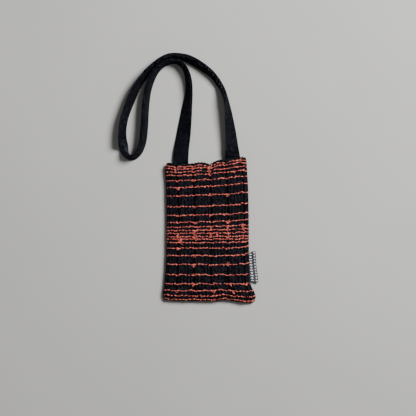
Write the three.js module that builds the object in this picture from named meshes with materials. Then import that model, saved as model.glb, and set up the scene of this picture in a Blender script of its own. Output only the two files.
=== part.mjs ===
// A small woven pouch on a webbing strap, worn round the neck. It lies on its back, empty and a
// little puffed, with the strap laid out above the mouth in a long loop.
// Millimetres. X runs to the right across the pouch, Y from its bottom edge to its mouth, and Z up
// from the surface that it lies on. The pieces are drawn about the middle of the pouch's back, and
// the whole is then moved so that the origin is under the middle of its bounding box.
//
// The pieces are a front and a back panel of thick ribbed cloth, sewn round three sides and turned,
// a flat strap whose ends are sewn inside the mouth, and a folded label caught in the right side seam.
import * as THREE from "three";

// Pouch
const POUCH_WIDTH = 110; // between the side seams, half way up
const POUCH_HEIGHT = 186; // from the bottom edge to the mouth
const CLOTH = 2.5; // the ribbed cloth, slub yarns and all
const SEAM_HEIGHT = 4; // the plane where front and back meet, above the surface
const SEAM_LIP = 1.6; // one layer of cloth at the seam itself
const FRONT_PUFF = 10; // how far the front stands above the seam plane
const FRONT_ROLL = 16; // the strip along a seam in which the front rolls up to its full height
const BACK_ROLL = 9; // the strip along a seam in which the back rolls down to the surface
const BACK_RIM_DROP = 2; // the back's rim lies this much below the front's
const SEWN_GAP = 0.3; // between pieces that touch

// Lengthwise puckers, where the cloth is drawn in between two groups of ribs
const FIRST_PUCKER = 16; // from the left side seam to the first one
const PUCKER_PITCH = 22;
const PUCKER_WIDTH = 5;
const PUCKER_DEPTH = 1.1;

// The dimple where a fastener inside the mouth is tacked through the front
const DIMPLE_ACROSS = 0.47; // share of the pouch's width, from the left
const DIMPLE_BELOW_MOUTH = 12;
const DIMPLE_RADIUS = 9;
const DIMPLE_DEPTH = 1.2;

// Strap
const STRAP_WIDTH = 20.5;
const STRAP_THICKNESS = 2;
const STRAP_EDGE = 0.6; // the bevel of the woven edge
const STRAP_REACH = 142; // from the mouth to the top of the laid loop
const STRAP_SPREAD = 115; // from the pouch's middle to the far side of the laid loop
const STRAP_TUCK = 25; // sewn length inside the mouth
const STRAP_OVER_BACK = 36; // from its end to where it leaves the back's rim
const STRAP_LANDING = 26; // the stretch beyond, in which it comes down to the surface
const STRAP_STEPS = 150;
const BAND_LINES = 7; // across the band's width
const RIDGE_SOFTNESS = 3; // how round the band bends along its ridge
const LEAN_TRIES = 24; // halvings with which the band's lean is found

// Label
const LABEL_LENGTH = 43.5;
const LABEL_REACH = 8.7; // how far its upper end stands out of the seam
const LABEL_TUCK = 4; // how far it runs in between the panels
const LABEL_THICKNESS = 1;
const LABEL_TOP = 0.345; // its upper end, as a share of the pouch's height
const LABEL_SLANT = 5; // degrees, its lower end swung outwards
const LABEL_ROOM = 3; // how far past the label the seam still stands open

// Grid lines of the panels: near a seam as shares of the front's roll, and evenly spread between
const SIDE_LINES = [0.1, 0.28, 0.56];
const FOOT_LINES = [0.1, 0.3, 0.62, 1];
const STEP_ACROSS = 6;
const STEP_UP = 7.5;
const LEAST_STEP = 1; // a pucker's line nearer than this to a side's lines is left out

// Side edges from the bottom up. "at" is a share of the height. "left" and "right" are shares of
// half the width, from the middle line.
const SIDES = [
  { at: 0.0, left: 1.06, right: 1.15 },
  { at: 0.035, left: 1.085, right: 1.18 },
  { at: 0.07, left: 1.075, right: 1.14 },
  { at: 0.1, left: 1.06, right: 1.085 },
  { at: 0.14, left: 1.045, right: 1.04 },
  { at: 0.24, left: 1.02, right: 1.025 },
  { at: 0.36, left: 1.005, right: 1.015 },
  { at: 0.6, left: 1.0, right: 1.01 },
  { at: 0.8, left: 1.008, right: 0.995 },
  { at: 0.9, left: 1.022, right: 0.975 },
  { at: 0.965, left: 1.04, right: 0.96 },
  { at: 1.0, left: 1.01, right: 0.945 },
];

// The mouth's rim and the bottom edge from left to right. "at" is a share of the width. "rise" is
// a share of the height, up from the nominal edge.
const RIM = [
  { at: 0.0, rise: -0.008 },
  { at: 0.03, rise: 0.004 },
  { at: 0.1, rise: -0.007 },
  { at: 0.25, rise: -0.007 },
  { at: 0.4, rise: 0.005 },
  { at: 0.48, rise: 0.004 },
  { at: 0.55, rise: -0.006 },
  { at: 0.595, rise: 0.008 },
  { at: 0.65, rise: 0.021 },
  { at: 0.84, rise: 0.037 },
  { at: 0.95, rise: 0.045 },
  { at: 1.0, rise: 0.037 },
];
const BOTTOM = [
  { at: 0.0, rise: 0.014 },
  { at: 0.03, rise: 0.012 },
  { at: 0.125, rise: 0.008 },
  { at: 0.25, rise: 0.006 },
  { at: 0.38, rise: 0.004 },
  { at: 0.54, rise: 0.004 },
  { at: 0.665, rise: 0.012 },
  { at: 0.77, rise: 0.004 },
  { at: 0.84, rise: -0.003 },
  { at: 0.91, rise: -0.008 },
  { at: 0.965, rise: -0.006 },
  { at: 1.0, rise: 0.002 },
];

// The front's puff from the bottom up, as a share of its full puff.
const PUFF = [
  { at: 0.0, share: 0.9 },
  { at: 0.1, share: 1.0 },
  { at: 0.45, share: 0.94 },
  { at: 0.8, share: 0.97 },
  { at: 1.0, share: 1.02 },
];

// The laid strap, from the left end to the right. "across" is a share of the spread, from the
// middle line, and "up" a share of the reach, from the mouth. "seen" is the share of the band's
// width that shows from above: 1 where it lies flat, and less the more it stands on its edge.
// "ridge" is where its highest line runs: 1 is the right-hand edge of its travel and -1 the
// left-hand edge. Where the soft band buckles, the ridge crosses from one to the other.
const ROUTE = [
  { across: -0.312, up: -0.017, seen: 1, ridge: 1 },
  { across: -0.305, up: 0.111, seen: 0.98, ridge: 1 },
  { across: -0.274, up: 0.291, seen: 0.9, ridge: 0.9 },
  { across: -0.243, up: 0.479, seen: 0.71, ridge: 0.75 },
  { across: -0.214, up: 0.668, seen: 0.47, ridge: 0.65 },
  { across: -0.221, up: 0.8, seen: 0.39, ridge: 0.65 },
  { across: -0.262, up: 0.899, seen: 0.29, ridge: 0.65 },
  { across: -0.329, up: 0.951, seen: 0.285, ridge: 0.65 },
  { across: -0.41, up: 0.964, seen: 0.285, ridge: 0.65 },
  { across: -0.51, up: 0.937, seen: 0.31, ridge: 0.65 },
  { across: -0.597, up: 0.876, seen: 0.375, ridge: 0.65 },
  { across: -0.659, up: 0.781, seen: 0.4, ridge: 0.65 },
  { across: -0.701, up: 0.668, seen: 0.42, ridge: 0.65 },
  { across: -0.724, up: 0.517, seen: 0.43, ridge: 0.65 },
  { across: -0.736, up: 0.347, seen: 0.44, ridge: 0.65 },
  { across: -0.752, up: 0.22, seen: 0.43, ridge: 0.65 },
  { across: -0.779, up: 0.14, seen: 0.4, ridge: 0.65 },
  { across: -0.816, up: 0.088, seen: 0.365, ridge: 0.65 },
  { across: -0.868, up: 0.057, seen: 0.325, ridge: 0.75 },
  { across: -0.926, up: 0.066, seen: 0.35, ridge: 0.8 },
  { across: -0.964, up: 0.111, seen: 0.5, ridge: 0.4 },
  { across: -0.979, up: 0.163, seen: 0.58, ridge: -0.3 },
  { across: -0.989, up: 0.22, seen: 0.51, ridge: -1 },
  { across: -0.99, up: 0.31, seen: 0.455, ridge: -1 },
  { across: -0.967, up: 0.423, seen: 0.445, ridge: -1 },
  { across: -0.929, up: 0.517, seen: 0.46, ridge: -1 },
  { across: -0.884, up: 0.611, seen: 0.5, ridge: -1 },
  { across: -0.82, up: 0.725, seen: 0.44, ridge: -0.95 },
  { across: -0.754, up: 0.805, seen: 0.42, ridge: -0.9 },
  { across: -0.673, up: 0.88, seen: 0.4, ridge: -0.8 },
  { across: -0.574, up: 0.953, seen: 0.35, ridge: -0.7 },
  { across: -0.486, up: 0.998, seen: 0.3, ridge: -0.6 },
  { across: -0.393, up: 1.013, seen: 0.3, ridge: -0.55 },
  { across: -0.259, up: 0.996, seen: 0.39, ridge: -0.5 },
  { across: -0.172, up: 0.964, seen: 0.47, ridge: -0.45 },
  { across: -0.093, up: 0.927, seen: 0.47, ridge: -0.4 },
  { across: -0.015, up: 0.883, seen: 0.44, ridge: -0.35 },
  { across: 0.058, up: 0.835, seen: 0.36, ridge: -0.25 },
  { across: 0.129, up: 0.76, seen: 0.34, ridge: -0.05 },
  { across: 0.181, up: 0.687, seen: 0.28, ridge: 0.35 },
  { across: 0.218, up: 0.583, seen: 0.325, ridge: 0.75 },
  { across: 0.245, up: 0.47, seen: 0.445, ridge: 0.95 },
  { across: 0.269, up: 0.31, seen: 0.655, ridge: 1 },
  { across: 0.286, up: 0.149, seen: 0.84, ridge: 1 },
  { across: 0.293, up: 0.059, seen: 0.98, ridge: 1 },
  { across: 0.295, up: -0.017, seen: 1, ridge: 1 },
];

// Materials, with the colours of black cotton and a woven label
const BLACK_CLOTH = { color: 0x131319, roughness: 0.95, metalness: 0 };
const BLACK_WEBBING = { color: 0x101117, roughness: 0.9, metalness: 0 };
const LABEL_CLOTH = { color: 0x2c2b38, roughness: 0.7, metalness: 0 };

// The column of a table at any share, on a smooth line through its rows.
function along(table, column, at) {
  const last = table.length - 1;
  const i = Math.min(Math.max(table.findIndex((row) => row.at > at) - 1, 0), last - 1);
  const k = at >= table[last].at ? last - 1 : i;
  const slope = (j) => {
    const before = table[Math.max(j - 1, 0)];
    const after = table[Math.min(j + 1, last)];
    return (after[column] - before[column]) / (after.at - before.at);
  };
  const span = table[k + 1].at - table[k].at;
  const t = (at - table[k].at) / span;
  const t2 = t * t;
  const t3 = t2 * t;
  return (
    (2 * t3 - 3 * t2 + 1) * table[k][column] +
    (t3 - 2 * t2 + t) * span * slope(k) +
    (3 * t2 - 2 * t3) * table[k + 1][column] +
    (t3 - t2) * span * slope(k + 1)
  );
}

const smoothstep = (t) => THREE.MathUtils.smoothstep(t, 0, 1);

// A quarter round from 0 at the seam to 1 at the end of the roll.
function roll(distance, width) {
  const t = THREE.MathUtils.clamp(distance / width, 0, 1);
  return Math.sqrt(1 - (1 - t) * (1 - t));
}

// Where a point of a panel lies, seen from above: u is its share of the width from the left, v of
// the height from the bottom.
function plan(u, v, rimDrop) {
  const left = (-along(SIDES, "left", v) * POUCH_WIDTH) / 2;
  const right = (along(SIDES, "right", v) * POUCH_WIDTH) / 2;
  const bottom = POUCH_HEIGHT * (along(BOTTOM, "rise", u) - 0.5);
  const rim = POUCH_HEIGHT * (along(RIM, "rise", u) + 0.5) - rimDrop;
  return { x: left + (right - left) * u, y: bottom + (rim - bottom) * v };
}

// How far a panel has rolled away from the seam, from 0 on the seam to 1.
function rolled(u, v, width) {
  const side = Math.min(u, 1 - u) * POUCH_WIDTH;
  const bottom = v * POUCH_HEIGHT;
  return roll(side, width) * roll(bottom, width);
}

function puckers() {
  const places = [];
  for (let x = FIRST_PUCKER; x < POUCH_WIDTH - PUCKER_WIDTH / 2; x += PUCKER_PITCH) {
    places.push(x / POUCH_WIDTH);
  }
  return places;
}

function puckerDepth(u) {
  const nearest = Math.min(...puckers().map((p) => Math.abs(u - p) * POUCH_WIDTH));
  return PUCKER_DEPTH * (1 - smoothstep((2 * nearest) / PUCKER_WIDTH));
}

function dimpleDepth(u, v) {
  const across = (u - DIMPLE_ACROSS) * POUCH_WIDTH;
  const down = (1 - v) * POUCH_HEIGHT - DIMPLE_BELOW_MOUTH;
  return DIMPLE_DEPTH * (1 - smoothstep(Math.hypot(across, down) / DIMPLE_RADIUS));
}

// Half of the gap between the panels at the seam, which opens round the label.
function halfSeam(u, v) {
  const middle = LABEL_TOP - LABEL_LENGTH / 2 / POUCH_HEIGHT;
  const fromMiddle = Math.abs(v - middle) * POUCH_HEIGHT;
  const inside = (1 - u) * POUCH_WIDTH < LABEL_TUCK + LABEL_ROOM;
  const beside = fromMiddle < LABEL_LENGTH / 2 + LABEL_ROOM;
  return inside && beside ? LABEL_THICKNESS / 2 + SEWN_GAP : SEWN_GAP / 2;
}

function frontSmooth(u, v) {
  const rise = rolled(u, v, FRONT_ROLL);
  const full = FRONT_PUFF * along(PUFF, "share", v) - SEAM_LIP;
  return SEAM_HEIGHT + SEWN_GAP / 2 + SEAM_LIP + full * rise - dimpleDepth(u, v);
}

function frontOuter(u, v) {
  return frontSmooth(u, v) - puckerDepth(u) * rolled(u, v, FRONT_ROLL);
}

function frontInner(u, v) {
  return Math.max(frontSmooth(u, v) - CLOTH, SEAM_HEIGHT + halfSeam(u, v));
}

function backOuter(u, v) {
  return (SEAM_HEIGHT - SEWN_GAP / 2 - SEAM_LIP) * (1 - rolled(u, v, BACK_ROLL));
}

function backInner(u, v) {
  return Math.min(backOuter(u, v) + CLOTH, SEAM_HEIGHT - halfSeam(u, v));
}

// Shares of a side at which a panel has grid lines: close together near the edges and on the
// puckers, and evenly spread between.
function gridLines(size, edgeLines, marks, step) {
  const fixed = [...edgeLines, ...marks].map((x) => x / size);
  const sorted = [0, ...fixed, 1].sort((a, b) => a - b);
  const lines = [0];
  for (let i = 1; i < sorted.length; i += 1) {
    const from = lines[lines.length - 1];
    const count = Math.max(1, Math.round(((sorted[i] - from) * size) / step));
    for (let k = 1; k <= count; k += 1) lines.push(from + ((sorted[i] - from) * k) / count);
  }
  return lines;
}

// A closed sheet between an upper and a lower surface over a grid of u and v.
function sheetGeometry(columns, rows, rimDrop, upper, lower) {
  const positions = [];
  for (const height of [upper, lower]) {
    for (const v of rows) {
      for (const u of columns) {
        const { x, y } = plan(u, v, rimDrop);
        positions.push(x, y, height(u, v));
      }
    }
  }
  const wide = columns.length;
  const tall = rows.length;
  const under = wide * tall;
  const index = [];
  const quad = (a, b, c, d) => index.push(a, b, c, a, c, d);
  for (let j = 0; j + 1 < tall; j += 1) {
    for (let i = 0; i + 1 < wide; i += 1) {
      const a = j * wide + i;
      quad(a, a + 1, a + 1 + wide, a + wide);
      quad(under + a, under + a + wide, under + a + 1 + wide, under + a + 1);
    }
  }
  for (let i = 0; i + 1 < wide; i += 1) {
    const top = (tall - 1) * wide + i;
    quad(i, under + i, under + i + 1, i + 1);
    quad(top, top + 1, under + top + 1, under + top);
  }
  for (let j = 0; j + 1 < tall; j += 1) {
    const a = j * wide;
    const b = a + wide - 1;
    quad(a, a + wide, under + a + wide, under + a);
    quad(b, under + b, under + b + wide, b + wide);
  }
  const geometry = new THREE.BufferGeometry();
  geometry.setAttribute("position", new THREE.Float32BufferAttribute(positions, 3));
  geometry.setIndex(index);
  geometry.computeVertexNormals();
  return geometry;
}

function panelGrid() {
  const side = SIDE_LINES.map((share) => share * FRONT_ROLL);
  const foot = FOOT_LINES.map((share) => share * FRONT_ROLL);
  const fromSide = side[side.length - 1] + LEAST_STEP;
  const acrossMarks = puckers().flatMap((p) => {
    const x = p * POUCH_WIDTH;
    return [x - PUCKER_WIDTH / 2, x, x + PUCKER_WIDTH / 2];
  });
  const free = acrossMarks.filter((x) => x > fromSide && x < POUCH_WIDTH - LEAST_STEP);
  const columns = gridLines(POUCH_WIDTH, side, free, STEP_ACROSS);
  const labelTop = LABEL_TOP * POUCH_HEIGHT;
  const upMarks = [labelTop - LABEL_LENGTH, labelTop, POUCH_HEIGHT - DIMPLE_BELOW_MOUTH];
  const rows = gridLines(POUCH_HEIGHT, foot, upMarks, STEP_UP);
  return { columns, rows };
}

// The band across its travel: places from its left-hand edge to its right-hand one, on its middle
// layer, each with its slope. It climbs to the ridge and falls beyond it.
function bandAcross(lean, ridge) {
  const half = STRAP_WIDTH / 2;
  const top = ridge * (half + RIDGE_SOFTNESS);
  const piece = STRAP_WIDTH / (BAND_LINES - 1);
  const slopeAt = (a) => {
    const side = THREE.MathUtils.clamp((top - a) / RIDGE_SOFTNESS, -1, 1);
    return THREE.MathUtils.degToRad(lean * side);
  };
  const places = [{ out: 0, up: 0, slope: slopeAt(-half) }];
  for (let k = 1; k < BAND_LINES; k += 1) {
    const before = places[k - 1];
    const between = slopeAt(-half + (k - 0.5) * piece);
    places.push({
      out: before.out + piece * Math.cos(between),
      up: before.up + piece * Math.sin(between),
      slope: slopeAt(-half + k * piece),
    });
  }
  const middle = (places[0].out + places[BAND_LINES - 1].out) / 2;
  return places.map((place) => ({ ...place, out: place.out - middle }));
}

// How steeply the band stands, in degrees, for a share of its width to show from above.
function leanFor(seen, ridge) {
  let flat = 0;
  let upright = 90;
  for (let k = 0; k < LEAN_TRIES; k += 1) {
    const lean = (flat + upright) / 2;
    const places = bandAcross(lean, ridge);
    const shows = places[BAND_LINES - 1].out - places[0].out;
    if (shows > seen * STRAP_WIDTH) flat = lean;
    else upright = lean;
  }
  return flat;
}

// The band's outline across its travel, a flat bar with thinned edges.
function bandOutline(seen, ridge) {
  const places = bandAcross(leanFor(seen, ridge), ridge);
  const edge = places.length - 1;
  const half = STRAP_THICKNESS / 2;
  const face = (side) =>
    places.map(({ out, up, slope }, k) => {
      const inwards = k === 0 ? STRAP_EDGE : k === edge ? -STRAP_EDGE : 0;
      return {
        out: out + inwards * Math.cos(slope) - side * half * Math.sin(slope),
        up: up + inwards * Math.sin(slope) + side * half * Math.cos(slope),
      };
    });
  return [places[edge], ...face(1).reverse(), places[0], ...face(-1)];
}

// The strap's middle line as points with how much of the band is seen, and its ridge, at each.
function strapStations() {
  const mouth = POUCH_HEIGHT / 2;
  const points = ROUTE.map(({ across, up, seen, ridge }) => ({
    x: across * STRAP_SPREAD,
    y: mouth + up * STRAP_REACH,
    seen,
    ridge,
  }));
  const tucked = (end) => ({ ...end, y: end.y - STRAP_TUCK, seen: 1 });
  const rows = [tucked(points[0]), ...points, tucked(points[points.length - 1])];
  const curve = (pick) =>
    new THREE.CatmullRomCurve3(
      rows.map((row) => new THREE.Vector3(...pick(row))),
      false,
      "catmullrom",
      0.5,
    );
  const line = curve((row) => [row.x, row.y, 0]);
  const turn = curve((row) => [row.seen, row.ridge, 0]);
  const stations = [];
  for (let i = 0; i <= STRAP_STEPS; i += 1) {
    const t = line.getUtoTmapping(i / STRAP_STEPS);
    const set = turn.getPoint(t);
    stations.push({
      at: line.getPoint(t),
      travel: line.getTangent(t),
      seen: Math.min(set.x, 1),
      ridge: THREE.MathUtils.clamp(set.y, -1, 1),
      fromEnd: (Math.min(i, STRAP_STEPS - i) / STRAP_STEPS) * line.getLength(),
    });
  }
  return stations;
}

// A ring of points round the band at one station, with its lowest point on what it lies on.
function bandRing({ at, travel, seen, ridge, fromEnd }) {
  const landed = smoothstep((fromEnd - STRAP_OVER_BACK) / STRAP_LANDING);
  const lying = (CLOTH + SEWN_GAP) * (1 - landed);
  const outline = bandOutline(seen, ridge);
  const lowest = Math.min(...outline.map((p) => p.up));
  return outline.map((p) => [
    at.x + p.out * travel.y,
    at.y - p.out * travel.x,
    p.up - lowest + lying,
  ]);
}

// A closed solid through rings of equal count, with flat ends.
function loftGeometry(rings) {
  const round = rings[0].length;
  const index = [];
  for (let i = 0; i + 1 < rings.length; i += 1) {
    for (let k = 0; k < round; k += 1) {
      const a = i * round + k;
      const b = i * round + ((k + 1) % round);
      index.push(a, b + round, b, a, a + round, b + round);
    }
  }
  const last = (rings.length - 1) * round;
  for (let k = 1; k + 1 < round; k += 1) {
    index.push(0, k, k + 1);
    index.push(last, last + k + 1, last + k);
  }
  const geometry = new THREE.BufferGeometry();
  geometry.setAttribute("position", new THREE.Float32BufferAttribute(rings.flat(2), 3));
  geometry.setIndex(index);
  geometry.computeVertexNormals();
  return geometry;
}

// The folded label: a thin strip with a round fold on its outer edge.
function labelGeometry() {
  const fold = LABEL_THICKNESS / 2;
  const wide = LABEL_REACH + LABEL_TUCK;
  const outline = new THREE.Shape();
  outline.moveTo(0, -fold);
  outline.lineTo(wide - fold, -fold);
  outline.absarc(wide - fold, 0, fold, -Math.PI / 2, Math.PI / 2);
  outline.lineTo(0, fold);
  outline.closePath();
  const geometry = new THREE.ExtrudeGeometry(outline, {
    depth: LABEL_LENGTH,
    bevelEnabled: false,
    curveSegments: 4,
  });
  geometry.rotateX(Math.PI / 2);
  return geometry;
}

function named(name, geometry, look) {
  const mesh = new THREE.Mesh(geometry, new THREE.MeshStandardMaterial(look));
  mesh.name = name;
  return mesh;
}

const pouch = new THREE.Group();

const { columns, rows } = panelGrid();
const front = sheetGeometry(columns, rows, 0, frontOuter, frontInner);
const back = sheetGeometry(columns, rows, BACK_RIM_DROP, backInner, backOuter);
pouch.add(named("front_panel", front, BLACK_CLOTH));
pouch.add(named("back_panel", back, BLACK_CLOTH));

const band = loftGeometry(strapStations().map(bandRing));
pouch.add(named("strap", band, BLACK_WEBBING));

const label = named("side_label", labelGeometry(), LABEL_CLOTH);
const seam = plan(1, LABEL_TOP, 0);
label.position.set(seam.x - LABEL_TUCK, seam.y, SEAM_HEIGHT);
label.rotation.z = THREE.MathUtils.degToRad(LABEL_SLANT);
pouch.add(label);

const middle = new THREE.Box3().setFromObject(pouch, true).getCenter(new THREE.Vector3());
for (const piece of pouch.children) {
  piece.position.x -= middle.x;
  piece.position.y -= middle.y;
}

export default pouch;
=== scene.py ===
"""A small ribbed cloth pouch with coral slub stripes on a flat webbing strap, lying on its back.

Lengths are in millimetres and are turned to metres where meshes and nodes are made. The pieces are
drawn in the pouch's own place, with the middle of its back at the origin, and then moved to the
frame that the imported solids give.
"""

import math

import bpy
import numpy as np
from bpy.props import FloatProperty, FloatVectorProperty, PointerProperty
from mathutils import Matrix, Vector


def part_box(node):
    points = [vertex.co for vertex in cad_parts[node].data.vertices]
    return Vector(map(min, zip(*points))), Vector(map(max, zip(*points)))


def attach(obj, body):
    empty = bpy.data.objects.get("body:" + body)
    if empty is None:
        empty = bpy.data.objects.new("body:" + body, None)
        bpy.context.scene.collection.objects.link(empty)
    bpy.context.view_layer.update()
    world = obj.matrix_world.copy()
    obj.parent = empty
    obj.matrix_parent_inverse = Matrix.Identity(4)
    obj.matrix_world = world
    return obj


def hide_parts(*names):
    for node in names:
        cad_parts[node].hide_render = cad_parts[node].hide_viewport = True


bl_info = {
    "name": "Neck pouch",
    "version": (1, 0, 0),
    "blender": (4, 5, 0),
    "location": "View3D > Sidebar > Neck pouch",
    "description": "Builds a ribbed cloth neck pouch with slub stripes on a webbing strap",
    "category": "Add Mesh",
}

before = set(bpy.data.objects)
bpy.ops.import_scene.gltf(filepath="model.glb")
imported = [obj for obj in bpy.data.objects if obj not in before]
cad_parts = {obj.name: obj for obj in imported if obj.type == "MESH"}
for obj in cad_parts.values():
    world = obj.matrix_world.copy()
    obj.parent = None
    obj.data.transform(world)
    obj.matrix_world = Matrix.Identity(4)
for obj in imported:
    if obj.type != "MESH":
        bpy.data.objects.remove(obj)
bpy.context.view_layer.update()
MM = 0.001
BODY = "root"

# Sizes shared with the part's solids
POUCH_WIDTH = 110
POUCH_HEIGHT = 186
CLOTH = 2.5
SEAM_HEIGHT = 4
FRONT_PUFF = 10
FRONT_ROLL = 16
BACK_ROLL = 9
BACK_RIM_DROP = 2
SEWN_GAP = 0.3
FIRST_PUCKER = 16
PUCKER_PITCH = 22
PUCKER_WIDTH = 5
DIMPLE_ACROSS = 0.47
DIMPLE_BELOW_MOUTH = 12
DIMPLE_RADIUS = 9
DIMPLE_DEPTH = 1.2
STRAP_WIDTH = 20.5
STRAP_THICKNESS = 2
STRAP_REACH = 142
STRAP_SPREAD = 115
STRAP_TUCK = 25
STRAP_OVER_BACK = 36
STRAP_LANDING = 26
RIDGE_SOFTNESS = 3
LEAN_TRIES = 24
LABEL_LENGTH = 43.5
LABEL_REACH = 8.7
LABEL_TUCK = 4
LABEL_THICKNESS = 1
LABEL_TOP = 0.345
LABEL_SLANT = 5

# Sizes of what only the finished pieces have
SEAM_CLEARANCE = 0.05  # half of the gap between front and back at the seam
LABEL_ROOM = 0.55  # how far each panel makes way for the label, as a share of its thickness
LABEL_MARGIN = 2  # how far the room goes on past the label's hidden edge
CLOTH_SINK = 0.3  # the ribs' crests lie this much inside the solid, and the yarns stand out of it
YARN_BED = 0.5  # how far the yarns hold the back's cloth off the floor
GAP_FADE = 4  # how soon the room for the label closes
HILLS = 0.24  # height of the slow unevenness of washed cloth, and of the quicker one on it
RIPPLES = 0.12
CROOK = 0.5  # how far the ribs lean aside slowly, and how far quickly
QUICK_CROOK = 0.3
CROOK_FADE = 14  # from the seams, where the ribs are straight
LINING_ROLL = 8  # how soon the inner faces part from each other at the seams
HEM = 14  # how far down inside the mouth the ribs still show
RIM_SCALLOP = 0.7  # how far the ribs' ends stand above the grooves at the mouth
RIM_STEPS = 7  # grid lines over the rolled rim
RIM_FADE = 6  # how far below the rim the ribs begin to grow shallow
EDGE_FADE = 3  # and how far from the side seams and the bottom
RIBS_AT_SEAM = 0.3  # how deep the ribs still are there, as a share of their depth
RIBS_AT_RIM = 0.5  # just below the rim
RIBS_ON_RIM = 0.45  # over it
RIBS_IN_HEM = 0.45  # inside the mouth
RIBS_INSIDE = 0.15  # and further down in the pouch
RIB_ROUNDNESS = 0.6  # how round-topped the ribs are, from 1 for a sine down to 0 for a block
RIB_LINES = 6  # grid lines of the cloth to each rib
SEAM_SPARE = 0.3  # a grid line nearer to a seam than this share of their spacing is left out
FINE_PLACES = 4001  # at which the cloth is measured across
LEVEL_SHARE = 0.6  # the height at which the cloth is measured across
LONG_STEP = 1.0  # from one grid line of the cloth to the next, up the panel
STRIPE_POINTS = 240  # along each stripe, before its yarn is set out evenly
STRIPE_MARGIN = 0.003  # share of the width that a stripe leaves free at a seam
YARN_MARGIN = 0.002  # and the share at any edge that no yarn goes into
MIDDLE_FROM = 0.3  # height share from which, and over which, the stripes take the middle's climb
MIDDLE_OVER = 0.25
TOP_FROM = 0.7  # and from which, and over which, they take the topmost one's
TOP_OVER = 0.15
EVEN_CLIMB = 0.55  # share of a stripe's climb to the right seam that is even, half way up
MIDDLE_BEND = 5  # how late the rest of the climb comes, half way up
LOWER_BEND = 14  # and near the bottom
RIM_BEND = 1.75  # and the whole climb, near the mouth
CLIMB_END = 0.92  # share of the width at which that climb is over
RIM_WAVE_START = -6  # from here to the reach, the stripes leave the waves of the mouth
RIM_WAVE_REACH = 24
FOOT_WAVE_REACH = 30  # how far up the waves of the bottom edge reach
LABEL_CLEAR = 0.993  # share of the width at which the stripes end above the label
SEAM_HUMP = 0.9  # how far the upper stripes rise before they reach the right seam
HUMP_START = 0.82  # shares of the width at which they begin to rise and are highest
HUMP_TOP = 0.95
HUMP_FALL = 0.04  # share of the width over which they sink again
HUMP_FROM = 0.4  # height share from which, and over which, the stripes take this hump
HUMP_OVER = 0.08
LEFT_START = 0.013  # share of the width at which the front's stripes start
YARN_SINK = 0.8  # how far the yarns go down into a pucker
PUCKER_HOLD = 0.45  # how far to either side it holds them, as a share of its width
PUCKER_SAG = (0.3, 1.5)  # least and most that a stripe sags there
RIB_DIP = 1.5  # how far a stripe's yarn goes down between two ribs
RIB_WAVER = 0.4  # how far it strays up or down from one rib to the next
GROOVE_YARN = 0.75  # its thickness in the groove, and what it gains on the crest, as shares
CREST_YARN = 0.35
CREST_LIGHT = 0.6  # how high on a rib the yarn begins to be painted paler than usual: painted light above it, painted shade below
KNOT_POINTS = 34  # along the yarn of a knot
KNOT_TURNS = (1.4, 2.4)  # fewest and most turns that it takes
KNOT_REACH = 1.5  # how far a knot of the slub yarn reaches to either side
KNOT_LIFT = 0.7  # how far off the cloth its middle is, and how far its yarn goes in and out there
KNOT_DEPTH = 0.55
KNOT_THINNESS = 0.45  # the yarn in a knot, as a share of its usual thickness
TAIL_THINNESS = 0.85  # and in a loose tail
TAIL_POINTS = 16  # along a tail
TAIL_STRAY = 0.5  # how far these points stray to the side, and up or down
TAIL_WAVER = 0.3
TAIL_LIFT = 0.9  # how far off the cloth a tail's ends are, and its middle beyond that
TAIL_RISE = 0.3
FRONT_LOOPS = 7  # small loops of yarn on each stripe
BACK_LOOPS = 6
YARN_LIFT = 0.35  # how far a yarn stands over the cloth, as a share of its thickness
TACK_PULL = 0.6  # how far the tack pulls it down
TACK_WIDTH = 4.5  # and how far to the side and up or down of the tack it does
TACK_HEIGHT = 3.5
FRONT_YARN_STEP = 0.5  # from one ring of points to the next along a yarn
BACK_YARN_STEP = 0.7
FRONT_YARN_SIDES = 8
BACK_YARN_SIDES = 6
YARN_SEED = 7  # for the stripes, knots, tails and loops
LOOP_POINTS = 9  # along the yarn of a loop
LOOP_PLACES = (0.02, 0.98)  # first and last share of the width at which there are loops
LOOPS_AT_PUCKERS = 0.4  # share of the loops that are beside a pucker
PUCKERS = 5
LOOP_STRAY = 2  # how far from the middle of the pucker those are
LOOP_LIFT = 0.9  # how far a loop stands off the cloth
LOOP_FLUFF = 0.2  # how fluffy, and so how pale, the loops, the knots and the tails are
KNOT_FLUFF = 0.2
TAIL_FLUFF = 0.1
LOOP_DROP = (0.4, 1.3)  # least and most that a loop hangs from its stripe
LOOP_HALF = (0.7, 1.6)  # and that it reaches to either side
LOOP_THINNESS = (0.55, 0.85)  # and its yarn, as a share of its usual thickness
TACK_THREADS = 7  # threads of the tack
THREAD_RADIUS = 0.4
THREAD_POINTS = 11  # along a thread
THREAD_SWAY = 0.5  # how far it bends up and down
THREAD_LIFT = 0.2  # how far off the cloth the first thread's ends are, and each further one
THREAD_STACK = 0.1
TACK_HALF = (1.8, 3.0)  # least and most that a thread of it reaches to either side
TACK_TURN = 0.5  # how far a thread turns off the level, in radians
TACK_SPREAD = 0.7  # how far a thread's middle strays from the tack's
TACK_RISE = 1.3  # how far a thread stands up in its middle
TACK_SEED = 11
STRAP_STEP = 0.7  # from one section of the band to the next
BAND_LINES = 17  # grid lines across the flat of the band
BAND_INSET = 1.1  # from the band's edge to the first of them
EDGE_ROUND = 0.5  # from the band's edge to where the loops of its weft are set
EDGE_FULLNESS = 0.72  # how thick the band is there, as a share of its thickness
BAND_WAVER = 0.12  # height of the band's slow waves
KINK_ROW = 20  # the row of the route at which the band has crumpled
KINK_REACH = 8  # how far the crumpling goes on round it
CREASE_HEIGHT = 0.7  # of the creases at the kink
KINK_HIGHLIGHT = 1.2  # how much painted highlight the band has at the kink, as a share of that on its edges
WEFT_DRAWN = 1.3  # from one pick to the next in the cloth, as drawn
LABEL_PICK = 0.7  # and in the label
THREAD_TURN = 0.8  # one turn of the tack's thread
LABEL_STEPS = 60  # sections of the label
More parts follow.
